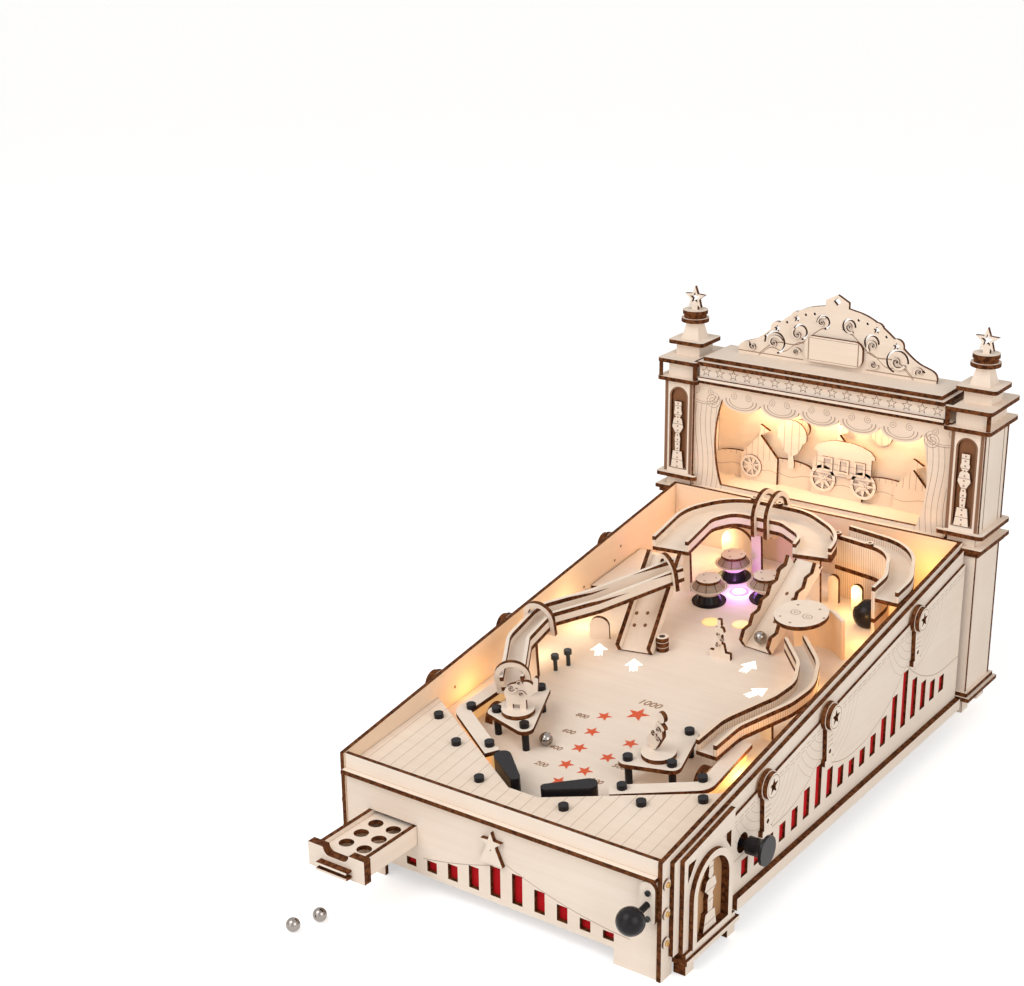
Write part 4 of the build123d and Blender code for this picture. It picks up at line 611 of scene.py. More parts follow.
class PinballSizes(bpy.types.PropertyGroup):
    """Sizes of the sheet's grain and of the pieces that are added to the CAD part."""

    grain_depth: length("Grain", "Depth of the sheet's grain", 0.00018)
    star_radius: length("Star", "Outer radius of a score star", 0.0055)
    mark_thickness: length("Mark", "Thickness of the marks on the playfield", 0.0002)
    arrow_length: length("Arrow length", "Length of a lit arrow", 0.021)
    arrow_width: length("Arrow width", "Width of a lit arrow's head", 0.0125)
    disc_radius: length("Lit disc", "Radius of a lit disc", 0.0065)
    relief_thickness: length("Relief", "Thickness of the relief on the stage and the pediment", 0.0015)
    wheel_radius: length("Wheel", "Outer radius of a wheel on the stage", 0.0105)
    wagon_width: length("Wagon", "Width of the wagon's body on the stage", 0.044)
    balloon_radius: length("Balloon", "Radius of the balloon on the stage", 0.0125)
    peg_radius: length("Peg", "Radius of a track peg's head", 0.0026)
    lens_radius: length("Bumper lens", "Radius of the lit lens between the bumpers", 0.0067)
    pin_radius: length("Pin", "Radius of a lane pin's shaft", 0.0015)
    screw_radius: length("Screw", "Radius of a screw head", 0.0018)


class PinballStudio(bpy.types.PropertyGroup):
    """Light levels of the studio."""

    key_power: level("Key", "Power of the key light in watts", 13.2)
    fill_power: level("Fill", "Power of the fill light in watts", 9.5)
    front_power: level("Front", "Power of the low front light in watts", 2.4)
    lamp_share: level("Lamps", "Share of their power that the lamps inside burn at", 1.0)
    sky: level("Sky", "Strength of the even light all round", 0.5)


# Side walls, with the swag panels and corbels outside them
WALL_TOP = 78
WALL_TOP_RISE = 0.15423
WALL_PEGS = ((320.3, 113.3), (312.0, 104.5), (270.8, 97.2), (114.8, 78.4))
SWAG_SEAMS = ((18.5, 0.6), (21, 0.5))
STITCH_LENGTH, STITCH_GAP = 3.5, 0.8
SWAG_HEM = 42.5
SWAG_HEM_RISE = 0.0317
SWAG_LOBES = ((180.9, 50, 18), (307.1, 70, 30))
FOLD_REACH = (13, 46)
FOLD_DROP = 22
FOLD_SHARE = 0.55
CORBELS = (108.54, 188.94, 317.58)
CORBEL_HOOK_DROP = 9
MEDAL_DROP = 13.5
MEDAL_RING = 7.2
CORBEL_BAR_HALF = 3.4
CORBEL_BAR_REACH = (13, 22)


def wall_top(back):
    """Height of a side wall's sloping top."""
    return WALL_TOP + back * WALL_TOP_RISE


def swag_lines(finish, across, back, height):
    """Stitched top, hem over the slots, and folds that hang from the corbels."""
    top = wall_top(back)
    seams = any_of(*[finish.line(top - drop - height, width) for drop, width in SWAG_SEAMS])
    stitches = seams * (back.math("PINGPONG", STITCH_LENGTH) > STITCH_GAP)
    hem = back * SWAG_HEM_RISE + SWAG_HEM + any_of(*[lobe(back, *swell) for swell in SWAG_LOBES])
    hooks = [(place, wall_top(place) - CORBEL_HOOK_DROP) for place in CORBELS]
    reach = reduce(Wire.least, [reach_from(back, height, hook) for hook in hooks])
    folds = finish.stripes(reach, pitch=5.5, width=0.55) * between(reach, *FOLD_REACH)
    folds = folds * (height > hem + 1) * (height < top - FOLD_DROP)
    return any_of(stitches, finish.line(height - hem, width=0.7), folds * FOLD_SHARE)


def wall_pegs(finish, across, back, height):
    return finish.dots(back, height, WALL_PEGS, radius=1.2)


def corbel_lines(finish, across, back, height):
    """Ring round each medal, and short bars down the body."""
    marks = []
    for place in CORBELS:
        reach = reach_from(back, height, (place, wall_top(place) - MEDAL_DROP))
        bars = finish.stripes(height, pitch=3.2, width=0.5) * (abs(back - place) < CORBEL_BAR_HALF)
        marks += [finish.line(reach - MEDAL_RING, width=0.6), bars * between(reach, *CORBEL_BAR_REACH)]
    return any_of(*marks)


# Front panel and its ledge, and the drawer's tray
FRONT_HEM = 20.3
FRONT_LOBE = (9, 100, 19.5)
FRONT_HEM_ENDS = (-54, 96)
LEDGE_FRONT = 0.9
LEDGE_HEIGHTS = (64.9, 68.1)
TRAY_MIDDLE = -77.5
TRAY_HALF = 15.9


def front_lines(finish, across, back, height):
    """Hem of the cloth over the front slots."""
    hem = lobe(across, *FRONT_LOBE) + FRONT_HEM
    return finish.line(height - hem, width=0.7) * between(across, *FRONT_HEM_ENDS)


def ledge_there(across, back, height):
    return (back < LEDGE_FRONT) * between(height, *LEDGE_HEIGHTS)


def tray_side_there(across, back, height):
    return abs(across - TRAY_MIDDLE) > TRAY_HALF


# Pillars and their figures
PILLAR = 115.3
PILLAR_BACK = 424
SHAFT_HEIGHTS = (148, 221)
SHAFT_TOP = 222
SHAFT_FRONT_SHEET = (402, 405)
SHAFT_BACK_SHEET = 443
NICHE_FOOT, NICHE_SPRING, NICHE_BORDER = 151, 208.5, 7.9
STRIP_ASIDE = 10.7
SEAM_BACK = 13.5
POST_ASIDE, POST_BACK = 12.6, 22.6
POST_HEIGHTS = (223.5, 247)
BELT_PITCH = 7.2
UPPER_NICHES = 140
FIGURES_BACK = 300


def pillar_lines(finish, across, back, height):
    """Brown strips and a brown arch round a pillar's niche, and gaps down its outside."""
    aside = abs(abs(across) - PILLAR)
    arch = (reach_from(aside, (height - NICHE_SPRING).most(0)) < NICHE_BORDER) * (height > NICHE_FOOT)
    front = any_of(finish.line(aside - STRIP_ASIDE, width=3.6), arch * (back < PILLAR_BACK))
    seams = finish.line(abs(back - PILLAR_BACK) - SEAM_BACK, width=1.6)
    front = front * (finish.normal_share(BACK) > FACING_SHARE)
    outside = seams * (finish.normal_share(ACROSS) > FACING_SHARE)
    return any_of(front, outside) * between(height, *SHAFT_HEIGHTS)


def shaft_edges(finish, across, back, height):
    """Rule for the pillars' boxes: the front and back sheets show their edges at the sides."""
    sheets = between(back, *SHAFT_FRONT_SHEET) + (back > SHAFT_BACK_SHEET)
    strip = sheets * (finish.normal_share(ACROSS) > FACING_SHARE) * (height < SHAFT_TOP)
    outside = any_of(abs(abs(across) - PILLAR) > POST_ASIDE, abs(back - PILLAR_BACK) > POST_BACK)
    return 1 - any_of(strip, outside * between(height, *POST_HEIGHTS))


def statue_lines(finish, across, back, height):
    """Belts and buttons on the figures."""
    belts = finish.stripes(height, BELT_PITCH, width=0.6)
    rise = height.math("PINGPONG", BELT_PITCH / 2)
    buttons = finish.dots(abs(abs(across) - PILLAR), rise, ((0, BELT_PITCH / 4),), radius=0.8)
    return any_of(belts, buttons)


# Back box: fascia, stage and pediment
FASCIA_PITCH = 11.5
FASCIA_STARS = 232
FASCIA_REACH = 97
FASCIA_HEIGHTS = (227.6, 236.6)
FASCIA_BACK = 420
CORNICE_FOOT = 236.9
STAGE_BACK_SHEET = 442.9
CURTAIN_EDGE, CURTAIN_TOP = 76, 206
CURTAIN_KNOT = (88, 209)
VALANCE = 212
SCALLOP_HALF, SCALLOP_DEPTH = 16, 8.5
SCALLOP_BORDERS = ((0.8, 0.08), (0.62, 0.06))
SCALLOP_CURL = (6.5, 215.2)
TENT_FOOT, TENT_BACK = 158, 441.4
HILL = 149
PEDIMENT_FACE = 427
PEDIMENT_SHEET = (425, 428)
PEDIMENT_FOOT = 245.2
VEINS_REACH = (5, 62)
UPPER_VEIN = {"rate": 0.16, "swing": 3.2, "top": 272, "fall": 0.42, "width": 1.2}
LOWER_VEIN = {"rate": 0.27, "swing": 2.4, "top": 264, "fall": 0.3, "width": 0.9}
CARTOUCHE_ASIDE = 25
CARTOUCHE_HALF = (23, 9.5)
CARTOUCHE_MIDDLE = 255.5
CARTOUCHE_BACK = 424.5
CARTOUCHE_BORDER_SHARE = 0.86


def fascia_lines(finish, across, back, height):
    """Row of star outlines."""
    row = across.math("WRAP", FASCIA_PITCH / 2, -FASCIA_PITCH / 2)
    star = finish.star_line(row, height - FASCIA_STARS, radius=3.7, width=0.62)
    return star * (abs(across) < FASCIA_REACH) * between(height, *FASCIA_HEIGHTS) * (back < FASCIA_BACK)


def curtain_lines(finish, across, back, height):
    """Folds of the side curtains, and scalloped borders along the valance."""
    folds = finish.stripes(abs(across) + wave(height, rate=0.09, swing=1.6), pitch=4.4, width=0.55)
    folds = folds * (abs(across) > CURTAIN_EDGE) * (height < CURTAIN_TOP)
    scallop = across.math("WRAP", SCALLOP_HALF, -SCALLOP_HALF)
    drop = reach_from(scallop / SCALLOP_HALF, (height - VALANCE) / SCALLOP_DEPTH)
    borders = any_of(*[finish.line(drop - share, width) for share, width in SCALLOP_BORDERS])
    borders = borders * (height < VALANCE + 1)
    aside, rise = SCALLOP_CURL
    curl = finish.spiral(abs(scallop) - aside, height - rise, radius=3.0, pitch=1.5, width=0.5)
    aside, rise = CURTAIN_KNOT
    knot = finish.spiral(abs(across) - aside, height - rise, radius=6.5, pitch=2.2, width=0.6)
    return any_of(folds, borders, curl * (height > VALANCE - 2), knot)


def vein(finish, aside, height, rate, swing, top, fall, width):
    """A waving line that falls from the pediment's middle to its side."""
    return finish.line(wave(aside, rate, swing) + top - aside * fall - height, width)


def pediment_lines(finish, across, back, height):
    """A line along the foot, veins that lead up to the middle, and the cartouche's border."""
    aside = abs(across)
    foot = finish.line(height - PEDIMENT_FOOT, width=1.0) * (aside > CARTOUCHE_ASIDE)
    upper = vein(finish, aside, height, **UPPER_VEIN)
    lower = vein(finish, aside, height, **LOWER_VEIN) * (aside > CARTOUCHE_ASIDE)
    veins = any_of(upper, lower) * between(aside, *VEINS_REACH)
    half_width, half_height = CARTOUCHE_HALF
    panel_share = any_of(aside / half_width, abs(height - CARTOUCHE_MIDDLE) / half_height)
    border = finish.line(panel_share - CARTOUCHE_BORDER_SHARE, width=0.05) * (back < CARTOUCHE_BACK)
    return any_of(any_of(foot, veins) * between(back, *PEDIMENT_SHEET), border)


def scenery_lines(finish, across, back, height):
    """Striped tents, and a line along the hills."""
    tents = finish.stripes(across, pitch=5, width=0.5) * (height > TENT_FOOT) * (back < TENT_BACK)
    hills = finish.line(wave(across, rate=0.2, swing=1.5) + HILL - height, width=0.6)
    return any_of(tents, hills)


# Playfield: apron, tracks, ramps, hood and bumpers
PLANK_LEAN = 0.02
LOOP_TOP = 50
ORBIT_TOPS, ORBIT_ASIDE = (44.8, 48.2), 34
WINDING_TOPS, WINDING_ASIDE = (20.8, 24.2), 36
RAIL_FALL = math.tan(math.radians(7.3))
RAIL_FOOT, RAIL_FOOT_TOP = 115, 29.8
RAIL_HEAD, RAIL_HEAD_TOP, RAIL_ASIDE = 275, 45, -36
KERFS = {"pitch": 1.9, "width": 0.5}
KERF_SHARE = 0.72
KERFS_ASIDE, KERFS_BELOW = 36, 44
BUMPERS = ((-41.1, 363.8), (-38.2, 321.6), (-3.5, 344.1))
CAP_SPOKES_REACH, CAP_SPOKES_ABOVE = (8.4, 12.2), 11
CAP_HOLES, CAP_HOLES_ABOVE = ((5.2, 2.4), (-5.2, 2.4), (0, -5.6)), 16
CAP_RIM = 13.1
CAP_SPOKE_TURN = math.pi / 9
HOOD_HOLES = ((47, 271), (57, 266), (50, 291), (66, 292), (74, 282))
HOOD_CURLS = ((54, 281), (64, 279))
HOOD_MARKS_ABOVE, HOOD_DISC = 29, 29.9
RAMP_HOLES = (
    (-57.0, 253.9), (-49.5, 256.5), (-54.2, 246.0), (-46.8, 248.5),
    (29.8, 313.0), (36.0, 310.0), (31.0, 293.0),
)
MAIN_RAMP = (math.radians(11), 0.28, 9.9)
SLIDE = (math.radians(-5.5), 1.88, 9.4)
TARGETS_FRONT, HOOPS_BACK = 150, 300


def plank_lines(finish, across, along, above):
    return finish.stripes(across + along * PLANK_LEAN, pitch=9, width=0.5)


def rail_tops(finish, across, along, above):
    """Rule for the rails, cut from flat sheet: their tops are faces, with a cut edge below."""
    orbit = between(above, *ORBIT_TOPS) * (across > ORBIT_ASIDE)
    winding = between(above, *WINDING_TOPS) * (across > WINDING_ASIDE)
    descent = above > (along - RAIL_FOOT) * RAIL_FALL + RAIL_FOOT_TOP
    descent = descent * (across < RAIL_ASIDE) * (along < RAIL_HEAD) * (above < RAIL_HEAD_TOP)
    edge = any_of(above > LOOP_TOP, orbit, winding, descent)
    return finish.normal_share(FIELD_NORMAL).most(1 - edge)


def kerf_lines(finish, across, along, above):
    """Fine cuts that let a strip bend, in the curtain wall and the winding track."""
    facing_front = finish.stripes(across, **KERFS) * (finish.normal_share(FIELD_ALONG) > KERF_SHARE)
    facing_side = finish.stripes(along, **KERFS) * (finish.normal_share(ACROSS) > KERF_SHARE)
    return any_of(facing_front, facing_side) * (across > KERFS_ASIDE) * (above < KERFS_BELOW)


def cap_lines(finish, across, along, above):
    """Spokes, holes and a rim line on each bumper cap."""
    marks = []
    for middle_across, middle_along in BUMPERS:
        first = across - middle_across
        second = along - middle_along
        reach = reach_from(first, second)
        turn = first.math("ARCTAN2", second).math("PINGPONG", CAP_SPOKE_TURN)
        spokes = finish.line(turn * reach, width=1.1) * between(reach, *CAP_SPOKES_REACH)
        spokes = spokes * (above > CAP_SPOKES_ABOVE)
        holes = finish.dots(first, second, CAP_HOLES, radius=0.9) * (above > CAP_HOLES_ABOVE)
        marks += [spokes, holes, finish.line(reach - CAP_RIM, width=0.6)]
    return any_of(*marks)


def hood_lines(finish, across, along, above):
    """Peg holes and two curls on the hood's disc."""
    marks = [finish.dots(across, along, HOOD_HOLES, radius=1.1)]
    for middle_across, middle_along in HOOD_CURLS:
        first = across - middle_across
        second = along - middle_along
        marks.append(finish.spiral(first, second, radius=4.2, pitch=2.2, width=0.7))
    return any_of(*marks) * (above > HOOD_MARKS_ABOVE)


def ramp_lines(finish, across, along, above):
    return finish.dots(across, along, RAMP_HOLES, radius=1.4)


def rail_there(across, along, above):
    """Rails of the main ramp and fences of the slide, which stand on their floors."""
    sides = []
    for heading, shift, half_width in (MAIN_RAMP, SLIDE):
        sides.append(abs(across * math.cos(heading) + along * math.sin(heading) - shift) > half_width)
    right = across > 0
    return sides[0] * (1 - right) + sides[1] * right


class PINBALL_OT_sheet(bpy.types.Operator):
    """Gives every plywood piece its grain, its engraving and its scorched edges, and paints lamplight on the
    sheet inside the cabinet
    """

    bl_idname = "pinball.sheet"
    bl_label = "Plywood sheet"

    def execute(self, context):
        self.dress_cabinet()
        self.dress_back_box()
        self.dress_playfield()
        return {"FINISHED"}

    def dress_cabinet(self):
        dress(plywood("ply_side", SIDE_FACES, "y"), "side_claddings", "base_rails", "niche_frames")
        dress(plywood("ply_wall", SIDE_FACES, "y", engraving=wall_pegs, depth=0.95, warm=0.4), "side_walls")
        dress(plywood("ply_swag", SIDE_FACES, "y", engraving=swag_lines, depth=0.6), "side_swag_panels")
        dress(plywood("ply_corbel", SIDE_FACES, "z", engraving=corbel_lines), "side_corbels")
        dress(plywood("ply_front", FRONT_FACES), "stars", "drawer_front")
        dress(plywood("ply_back", FRONT_FACES, warm=0.4), "back_panel")
        dress(plywood("ply_panel", FRONT_FACES, engraving=front_lines, depth=0.55), "front_panel")
        dress(plywood("ply_trim", split(ledge_there, FRONT_FACES, LEVEL_FACES)), "front_trim")
        dress(plywood("ply_tray", split(tray_side_there, LEVEL_FACES, SIDE_FACES), "y"), "drawer_tray")
        hidden = plywood("ply_hidden", faces(ACROSS, BACK), "y")
        dress(hidden, "guide_blocks", "left_push_rod", "right_push_rod")

    def dress_back_box(self):
        dress(plywood("ply_level", LEVEL_FACES), "base_floor", "pillar_plates")
        dress(plywood("ply_shaft", shaft_edges, "z", engraving=pillar_lines, depth=0.9), "pillar_shafts")
        rule = split(beyond(1, FIGURES_BACK), SIDE_FACES, FRONT_FACES)
        dress(plywood("ply_statue", rule, "z", engraving=statue_lines), "niche_figures")
        rule = split(beyond(1, STAGE_BACK_SHEET), LEVEL_FACES, FRONT_FACES)
        dress(plywood("ply_stage", rule, warm=0.2), "stage_box")
        dress(plywood("ply_scenery", FRONT_FACES, engraving=scenery_lines, depth=0.6, warm=0.2), "scenery")
        curtain = plywood("ply_curtain", FRONT_FACES, engraving=curtain_lines, depth=0.6, warm=0.12)
        dress(curtain, "stage_front")
        rule = split(beyond(2, CORNICE_FOOT), FRONT_FACES, LEVEL_FACES)
        dress(plywood("ply_fascia", rule, engraving=fascia_lines), "entablature")
        dress(plywood("ply_pediment", FRONT_FACES, engraving=pediment_lines, warm=0.1), "pediment")

    def dress_playfield(self):
        dress(
            plywood("ply_field", FIELD_FACES, "x", True),
            "playfield", "lane_guides", "sling_plates", "upper_track_floors", "side_track_floors",
            "ball_lanes", "left_crank", "right_crank",
        )
        dress(plywood("ply_apron", FIELD_FACES, "x", True, plank_lines, depth=0.5, warm=0.1), "apron")
        dress(plywood("ply_cap", FIELD_FACES, "x", True, cap_lines), "bumper_caps")
        rule = split(beyond(2, HOOD_DISC), upright, FIELD_FACES)
        dress(plywood("ply_hood", rule, "x", True, hood_lines, warm=0.7), "hood")
        strip = plywood("ply_strip", rail_tops, "y", True, kerf_lines, depth=0.5, warm=0.3)
        dress(strip, "upper_track_walls", "side_track_walls")
        rule = split(rail_there, faces(RAMP_NORMAL), SIDE_FACES)
        dress(plywood("ply_ramp", rule, "y", True, ramp_lines, depth=0.95, warm=0.08), "ramps")
        dress(plywood("ply_upright", UPRIGHT_FACES, "z", True), "play_figures", "track_posts")
        rule = split(beyond(1, TARGETS_FRONT), SIDE_FACES, UPRIGHT_FACES)
        dress(plywood("ply_target", rule, "z", True), "targets")
        rule = split(beyond(1, HOOPS_BACK), UPRIGHT_FACES, SIDE_FACES)
        dress(plywood("ply_hoop", rule, "z", True), "track_hoops")


def niche_brown():
    """Brown sheet of the niches, deeper in the pillars than at the cabinet's corners."""
    paint = colours()
    finish = Finish("niche_brown")
    place = finish.place()
    grain = finish.noise(place, scale=0.8, detail=3.0, rough=0.6, stretch=GRAIN_ALONG["z"])
    golden = finish.mix(grain, paint.niche_brown, paint.niche_pale)
    deep = finish.mix(grain, paint.engraved, paint.pillar_brown)
    upper = finish.parts(place)[2] > UPPER_NICHES
    return finish.surface(base_color=finish.mix(upper, golden, deep), roughness=0.6 + grain * 0.2)


def let_give(joint, spring):
    """Works out how far a spring would give way along its joint's axis, towards the end that stays, and
    gives the spring a mesh of its own; the share it would keep is not used.
    """
    node = spring["node"]
    letter = spring["mode"][-1]
    part = "xyz".index(letter)
    low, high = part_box(node)
    radius = min(high - low) / 2
    anchor = low + Vector((radius,) * 3)
    anchor[part] = spring[f"fixed_end_{letter}_m"]
    along = abs(joint["axis"][part])
    lean = math.sqrt(1 - min(along, 1) ** 2)
    reach = (max(abs(corner[part] - anchor[part]) for corner in (low, high)) - radius * lean) / along
    keep = 1 - max(joint["range_m"]) / reach
    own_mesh(frame["nodes"][node])


class PINBALL_OT_fittings(bpy.types.Operator):
    """Finishes the black, steel, red, brown and lit pieces, and gives the springs meshes of their own"""

    bl_idname = "pinball.fittings"
    bl_label = "Fittings"

    def execute(self, context):
        paint = colours()
        black = speckled(
            "gloss_black", paint.gloss_black, paint.dusty_black, rough=0.16, spread=0.16, scale=0.25,
            specular_ior_level=0.14, coat_weight=0.05,
        )
        dress(
            black,
            "play_bolts", "bumper_bases", "black_domes", "left_flipper", "right_flipper", "left_button",
            "right_button", "plunger",
        )
        liner = speckled(
            "red_liner", paint.liner_red, paint.liner_deep, rough=0.6, spread=0.2, scale=1.2,
            specular_ior_level=0.12,
        )
        dress(liner, "red_liners")
        dress(niche_brown(), "niche_backs")
        amber = glowing(
            "lit_amber", paint.lit_amber, paint.lit_amber_deep,
            strength=0.3, rough=0.4, spread=0.2, scale=0.08,
        )
        dress(amber, "amber_walls")
        wire = speckled(
            "spring_wire", paint.wire_grey, paint.wire_pale, rough=0.28, spread=0.15, scale=2.0,
            detail=2.0, blur=0.5, metallic=1.0,
        )
        dress(wire, "left_return_spring", "right_return_spring", "plunger_spring")
        steel = speckled(
            "polished_steel", paint.ball_steel, paint.ball_dark, rough=0.05, spread=0.08, scale=0.5,
            metallic=1.0,
        )
        dress(steel, "steel_balls")
        case = speckled(
            "matte_black", paint.case_black, paint.case_grey, rough=0.5, spread=0.2, scale=3.0, detail=2.0
        )
        dress(case, "battery_box", "power_switch")
        board = speckled(
            "green_board", paint.board_green, paint.board_pale, rough=0.35, spread=0.2, scale=0.6,
            detail=2.0, blur=0.5,
        )
        dress(board, "sound_board")
        for joint in frame["record"]["behaviour"]["joints"]:
            for spring in joint.get("deforming_nodes", ()):
                let_give(joint, spring)
        return {"FINISHED"}


# Marks on the playfield, by their places across and along it
STAR_SPOTS = (
    (0.8, 161.5, 1.45), (-17.2, 149.0, 1), (-13.8, 129.0, 1), (-10.1, 108.8, 1), (-6.7, 88.6, 1),
    (0.2, 70.1, 1), (15.6, 128.9, 1), (11.8, 107.9, 1), (7.8, 87.9, 1),
)
SCORES = (
    ("1000", 0.4, 174.0, 8.5), ("800", -30.5, 140.5, 6), ("600", -27.3, 120.0, 6), ("400", -23.8, 99.6, 6),
    ("200", -20.8, 79.2, 6), ("100", -1.0, 58.6, 6), ("300", 20.1, 79.8, 6), ("500", 23.6, 100.6, 6),
)
SCORE_SHEAR = 0.25
ARROWS = ((-66.8, 218.5, -30.4), (-34.0, 211.7, -30.0), (33.5, 246.5, 1.3), (52.7, 219.4, 26.3))
STEM_WIDTH_SHARE, STEM_LENGTH_SHARE, STEM_NOTCH_SHARE = 0.42, 0.4, 0.09
STEM_NOTCH_CORNERS = (0.2, 0.3)
HEAD_LENGTH_SHARE, HEAD_SPREAD, HEAD_TIP_SHARE = 0.42, 2.3, 0.02
LIT_DISCS = ((-21.1, 294.4), (-0.4, 301.3))
LIT_DISC_RIM_SHARE = 0.12


class PINBALL_OT_marks(bpy.types.Operator):
    """Lays the score stars, the numbers, the lit arrows and the lit discs on the playfield"""

    bl_idname = "pinball.marks"
    bl_label = "Playfield marks"

    def execute(self, context):
        self.lay_stars()
        self.lay_numbers(context)
        self.lay_arrows()
        self.lay_discs()
        return {"FINISHED"}

    def lay_stars(self):
        paint = colours()
        star = disc("score_stars", sizes().star_radius, sides=10)
        pick(star, "VERT", lambda corner: corner.index % 2 == 1)
        resize((STAR_INNER_SHARE, STAR_INNER_SHARE, 1))
        thickened(star, sizes().mark_thickness)
        stars = copies(star, [on_field(across, along, share=share) for across, along, share in STAR_SPOTS])
        red = speckled("star_red", paint.star_red, paint.star_worn, rough=0.5, spread=0.2, scale=0.9)
        settle(stars, red)

    def lay_numbers(self, context):
        paint = colours()
        half = sizes().mark_thickness / 2
        scores = []
        for text, across, along, height in SCORES:
            bpy.ops.object.select_all(action="DESELECT")
            bpy.ops.object.text_add(location=ORIGIN)
            number = context.object
            number.data.body = text
            number.data.size = height * MM
            number.data.shear = SCORE_SHEAR
            number.data.align_x = "CENTER"
            number.data.extrude = half
            bpy.ops.object.convert(target="MESH")
            number.matrix_world = on_field(across, along, half / MM) @ number.matrix_world
            scores.append(number)
        burnt = speckled("score_brown", paint.engraved, paint.score_worn, rough=0.6, spread=0.2, scale=1.4)
        settle(joined(scores, "score_numbers"), burnt)

    def lay_arrows(self):
        size = sizes()
        paint = colours()
        stem = size.arrow_width * STEM_WIDTH_SHARE
        half = size.arrow_length * STEM_LENGTH_SHARE / 2
        head = size.arrow_length * HEAD_LENGTH_SHARE
        near_end = half * END_SHARE
        arrow = panel("lit_arrows", stem, half * 2)
        pick_edges(arrow, lambda corner: corner.y > near_end)
        draw_out(ORIGIN)
        resize((HEAD_SPREAD, 1, 1), (0, half, 0))
        draw_out((0, head, 0))
        resize((HEAD_TIP_SHARE, 1, 1), (0, half + head, 0))
        pick_edges(arrow, lambda corner: corner.y < -near_end)
        bpy.ops.mesh.subdivide(number_cuts=3)
        inner, outer = [stem * share for share in STEM_NOTCH_CORNERS]
        pick(arrow, "VERT", lambda corner: corner.co.y < -near_end and inner < abs(corner.co.x) < outer)
        bpy.ops.transform.translate(value=(0, size.arrow_length * STEM_NOTCH_SHARE, 0))
        thickened(arrow, size.mark_thickness)
        places = [on_field(across, along, heading=math.radians(turn)) for across, along, turn in ARROWS]
        white = glowing("lit_white", paint.arrow_white, paint.arrow_warm, strength=1.2, rough=0.5)
        settle(copies(arrow, places), white)

    def lay_discs(self):
        size = sizes()
        paint = colours()
        lens = disc("lit_discs", size.disc_radius, sides=36)
        step_in(size.disc_radius * LIT_DISC_RIM_SHARE, size.mark_thickness)
        closed(lens)
        yellow = glowing("lit_yellow", paint.disc_yellow, paint.disc_deep, strength=0.5, rough=0.4)
        settle(copies(lens, [on_field(*there) for there in LIT_DISCS]), yellow)


# Relief on the stage, the pediment and the playfield's figures
SCENERY_FACE = 437
WHEELS = ((-9.0, SCENERY_FACE, 153.6), (24.0, SCENERY_FACE, 153.6), (-70.0, SCENERY_FACE, 152.0, 0.3, 0.85))
RIM_INNER_SHARE = 0.78
SPOKE_BARS = 4
SPOKE_LENGTH_SHARE, SPOKE_WIDTH_SHARE, SPOKE_THICKNESS_SHARE = 1.64, 0.13, 0.8
SPOKE_SWELL = (0.5, 2.6, 1)
HUB_RADIUS_SHARE, HUB_THICKNESS_SHARE, HUB_STEP_SHARE, HUB_CAP_SHARE = 0.3, 1.05, 0.14, 0.3
WAGON = (8.0, SCENERY_FACE, 166.0)
WAGON_ROOF = ((0.0, 1.12), (0.05, 1.0), (0.09, 0.84), (0.06, 0.66), (0.03, 0.5))
WAGON_BOARDS = (152, 171)
WAGON_HEIGHT_SHARE = 0.4
WINDOWS_ASIDE = (-0.3, 0, 0.3)
WINDOW_WIDTH_SHARE, WINDOW_HEIGHT_SHARE = 0.2, 0.25
WINDOW_FRAME_SHARE, WINDOW_THICKNESS_SHARE = 0.035, 0.8
BALLOON = (-36.0, SCENERY_FACE, 182.0)
BALLOON_SIDE, BALLOON_FOOT = -20, 166
BALLOON_WAIST_SHARE, BALLOON_NECK_SHARE = 0.3, 1.2
BALLOON_TAPER = (0.8, 1.35, 1)
ROPES_SHARE, BASKET_SHARE, BASKET_SPREAD = 0.5, 0.32, 1.4
SCROLLS = (
    (49.0, 254.9, 7.4, 0.4), (30.0, 264.0, 6.0, 2.2), (11.0, 275.4, 5.4, 1.0), (66.5, 250.0, 4.8, 2.6),
    (31.0, 250.5, 4.4, 0.2),
)
SCROLL_STEPS = 30
SCROLL_TURN = math.radians(20)
SCROLL_SHRINK = 0.925
SCROLL_START_SHARE = 0.12
SCROLL_BAND_SHARE = 0.28
CURL_BAND_SHARE, CURL_THICKNESS_SHARE = 0.3, 0.7
FIGURE_CURLS = (
    ((-52.6, 102.2), 20, ((-3.0, 35.5, 4.4), (3.4, 31.6, 3.6), (2.6, 39.5, 2.8))),
    ((52.6, 102.2), -20, ((-2.6, 33.0, 3.6), (2.2, 37.0, 2.9), (2.0, 29.8, 2.6))),
    ((10.6, 251.8), 0, ((-1.7, 10.5, 2.5), (1.7, 15.0, 2.2), (-1.2, 19.0, 1.8))),
)


def relief_lines(finish, across, back, height):
    """Stripes down the balloon, and boards along the wagon."""
    gores = finish.stripes(across - BALLOON[0], pitch=6.2, width=0.6)
    boards = finish.stripes(height, pitch=4.5, width=0.5)
    gores = gores * (across < BALLOON_SIDE) * (height > BALLOON_FOOT)
    return any_of(gores, boards * (across > BALLOON_SIDE) * between(height, *WAGON_BOARDS))


def scroll(name, hand, width_share, thickness):
    """A spiral band of unit reach in millimetres: an edge drawn out step by step, turned and drawn in."""
    band = panel(name, width_share * MM, SCROLL_START_SHARE * MM)
    bpy.ops.transform.translate(value=((1 - width_share / 2) * MM, 0, 0))
    pick_edges(band, lambda corner: corner.y * hand > 0)
    for step in range(SCROLL_STEPS):
        draw_out(ORIGIN)
        bpy.ops.transform.rotate(value=-hand * SCROLL_TURN, orient_axis="Z", center_override=ORIGIN)
        resize((SCROLL_SHRINK, SCROLL_SHRINK, 1))
    return thickened(band, thickness)


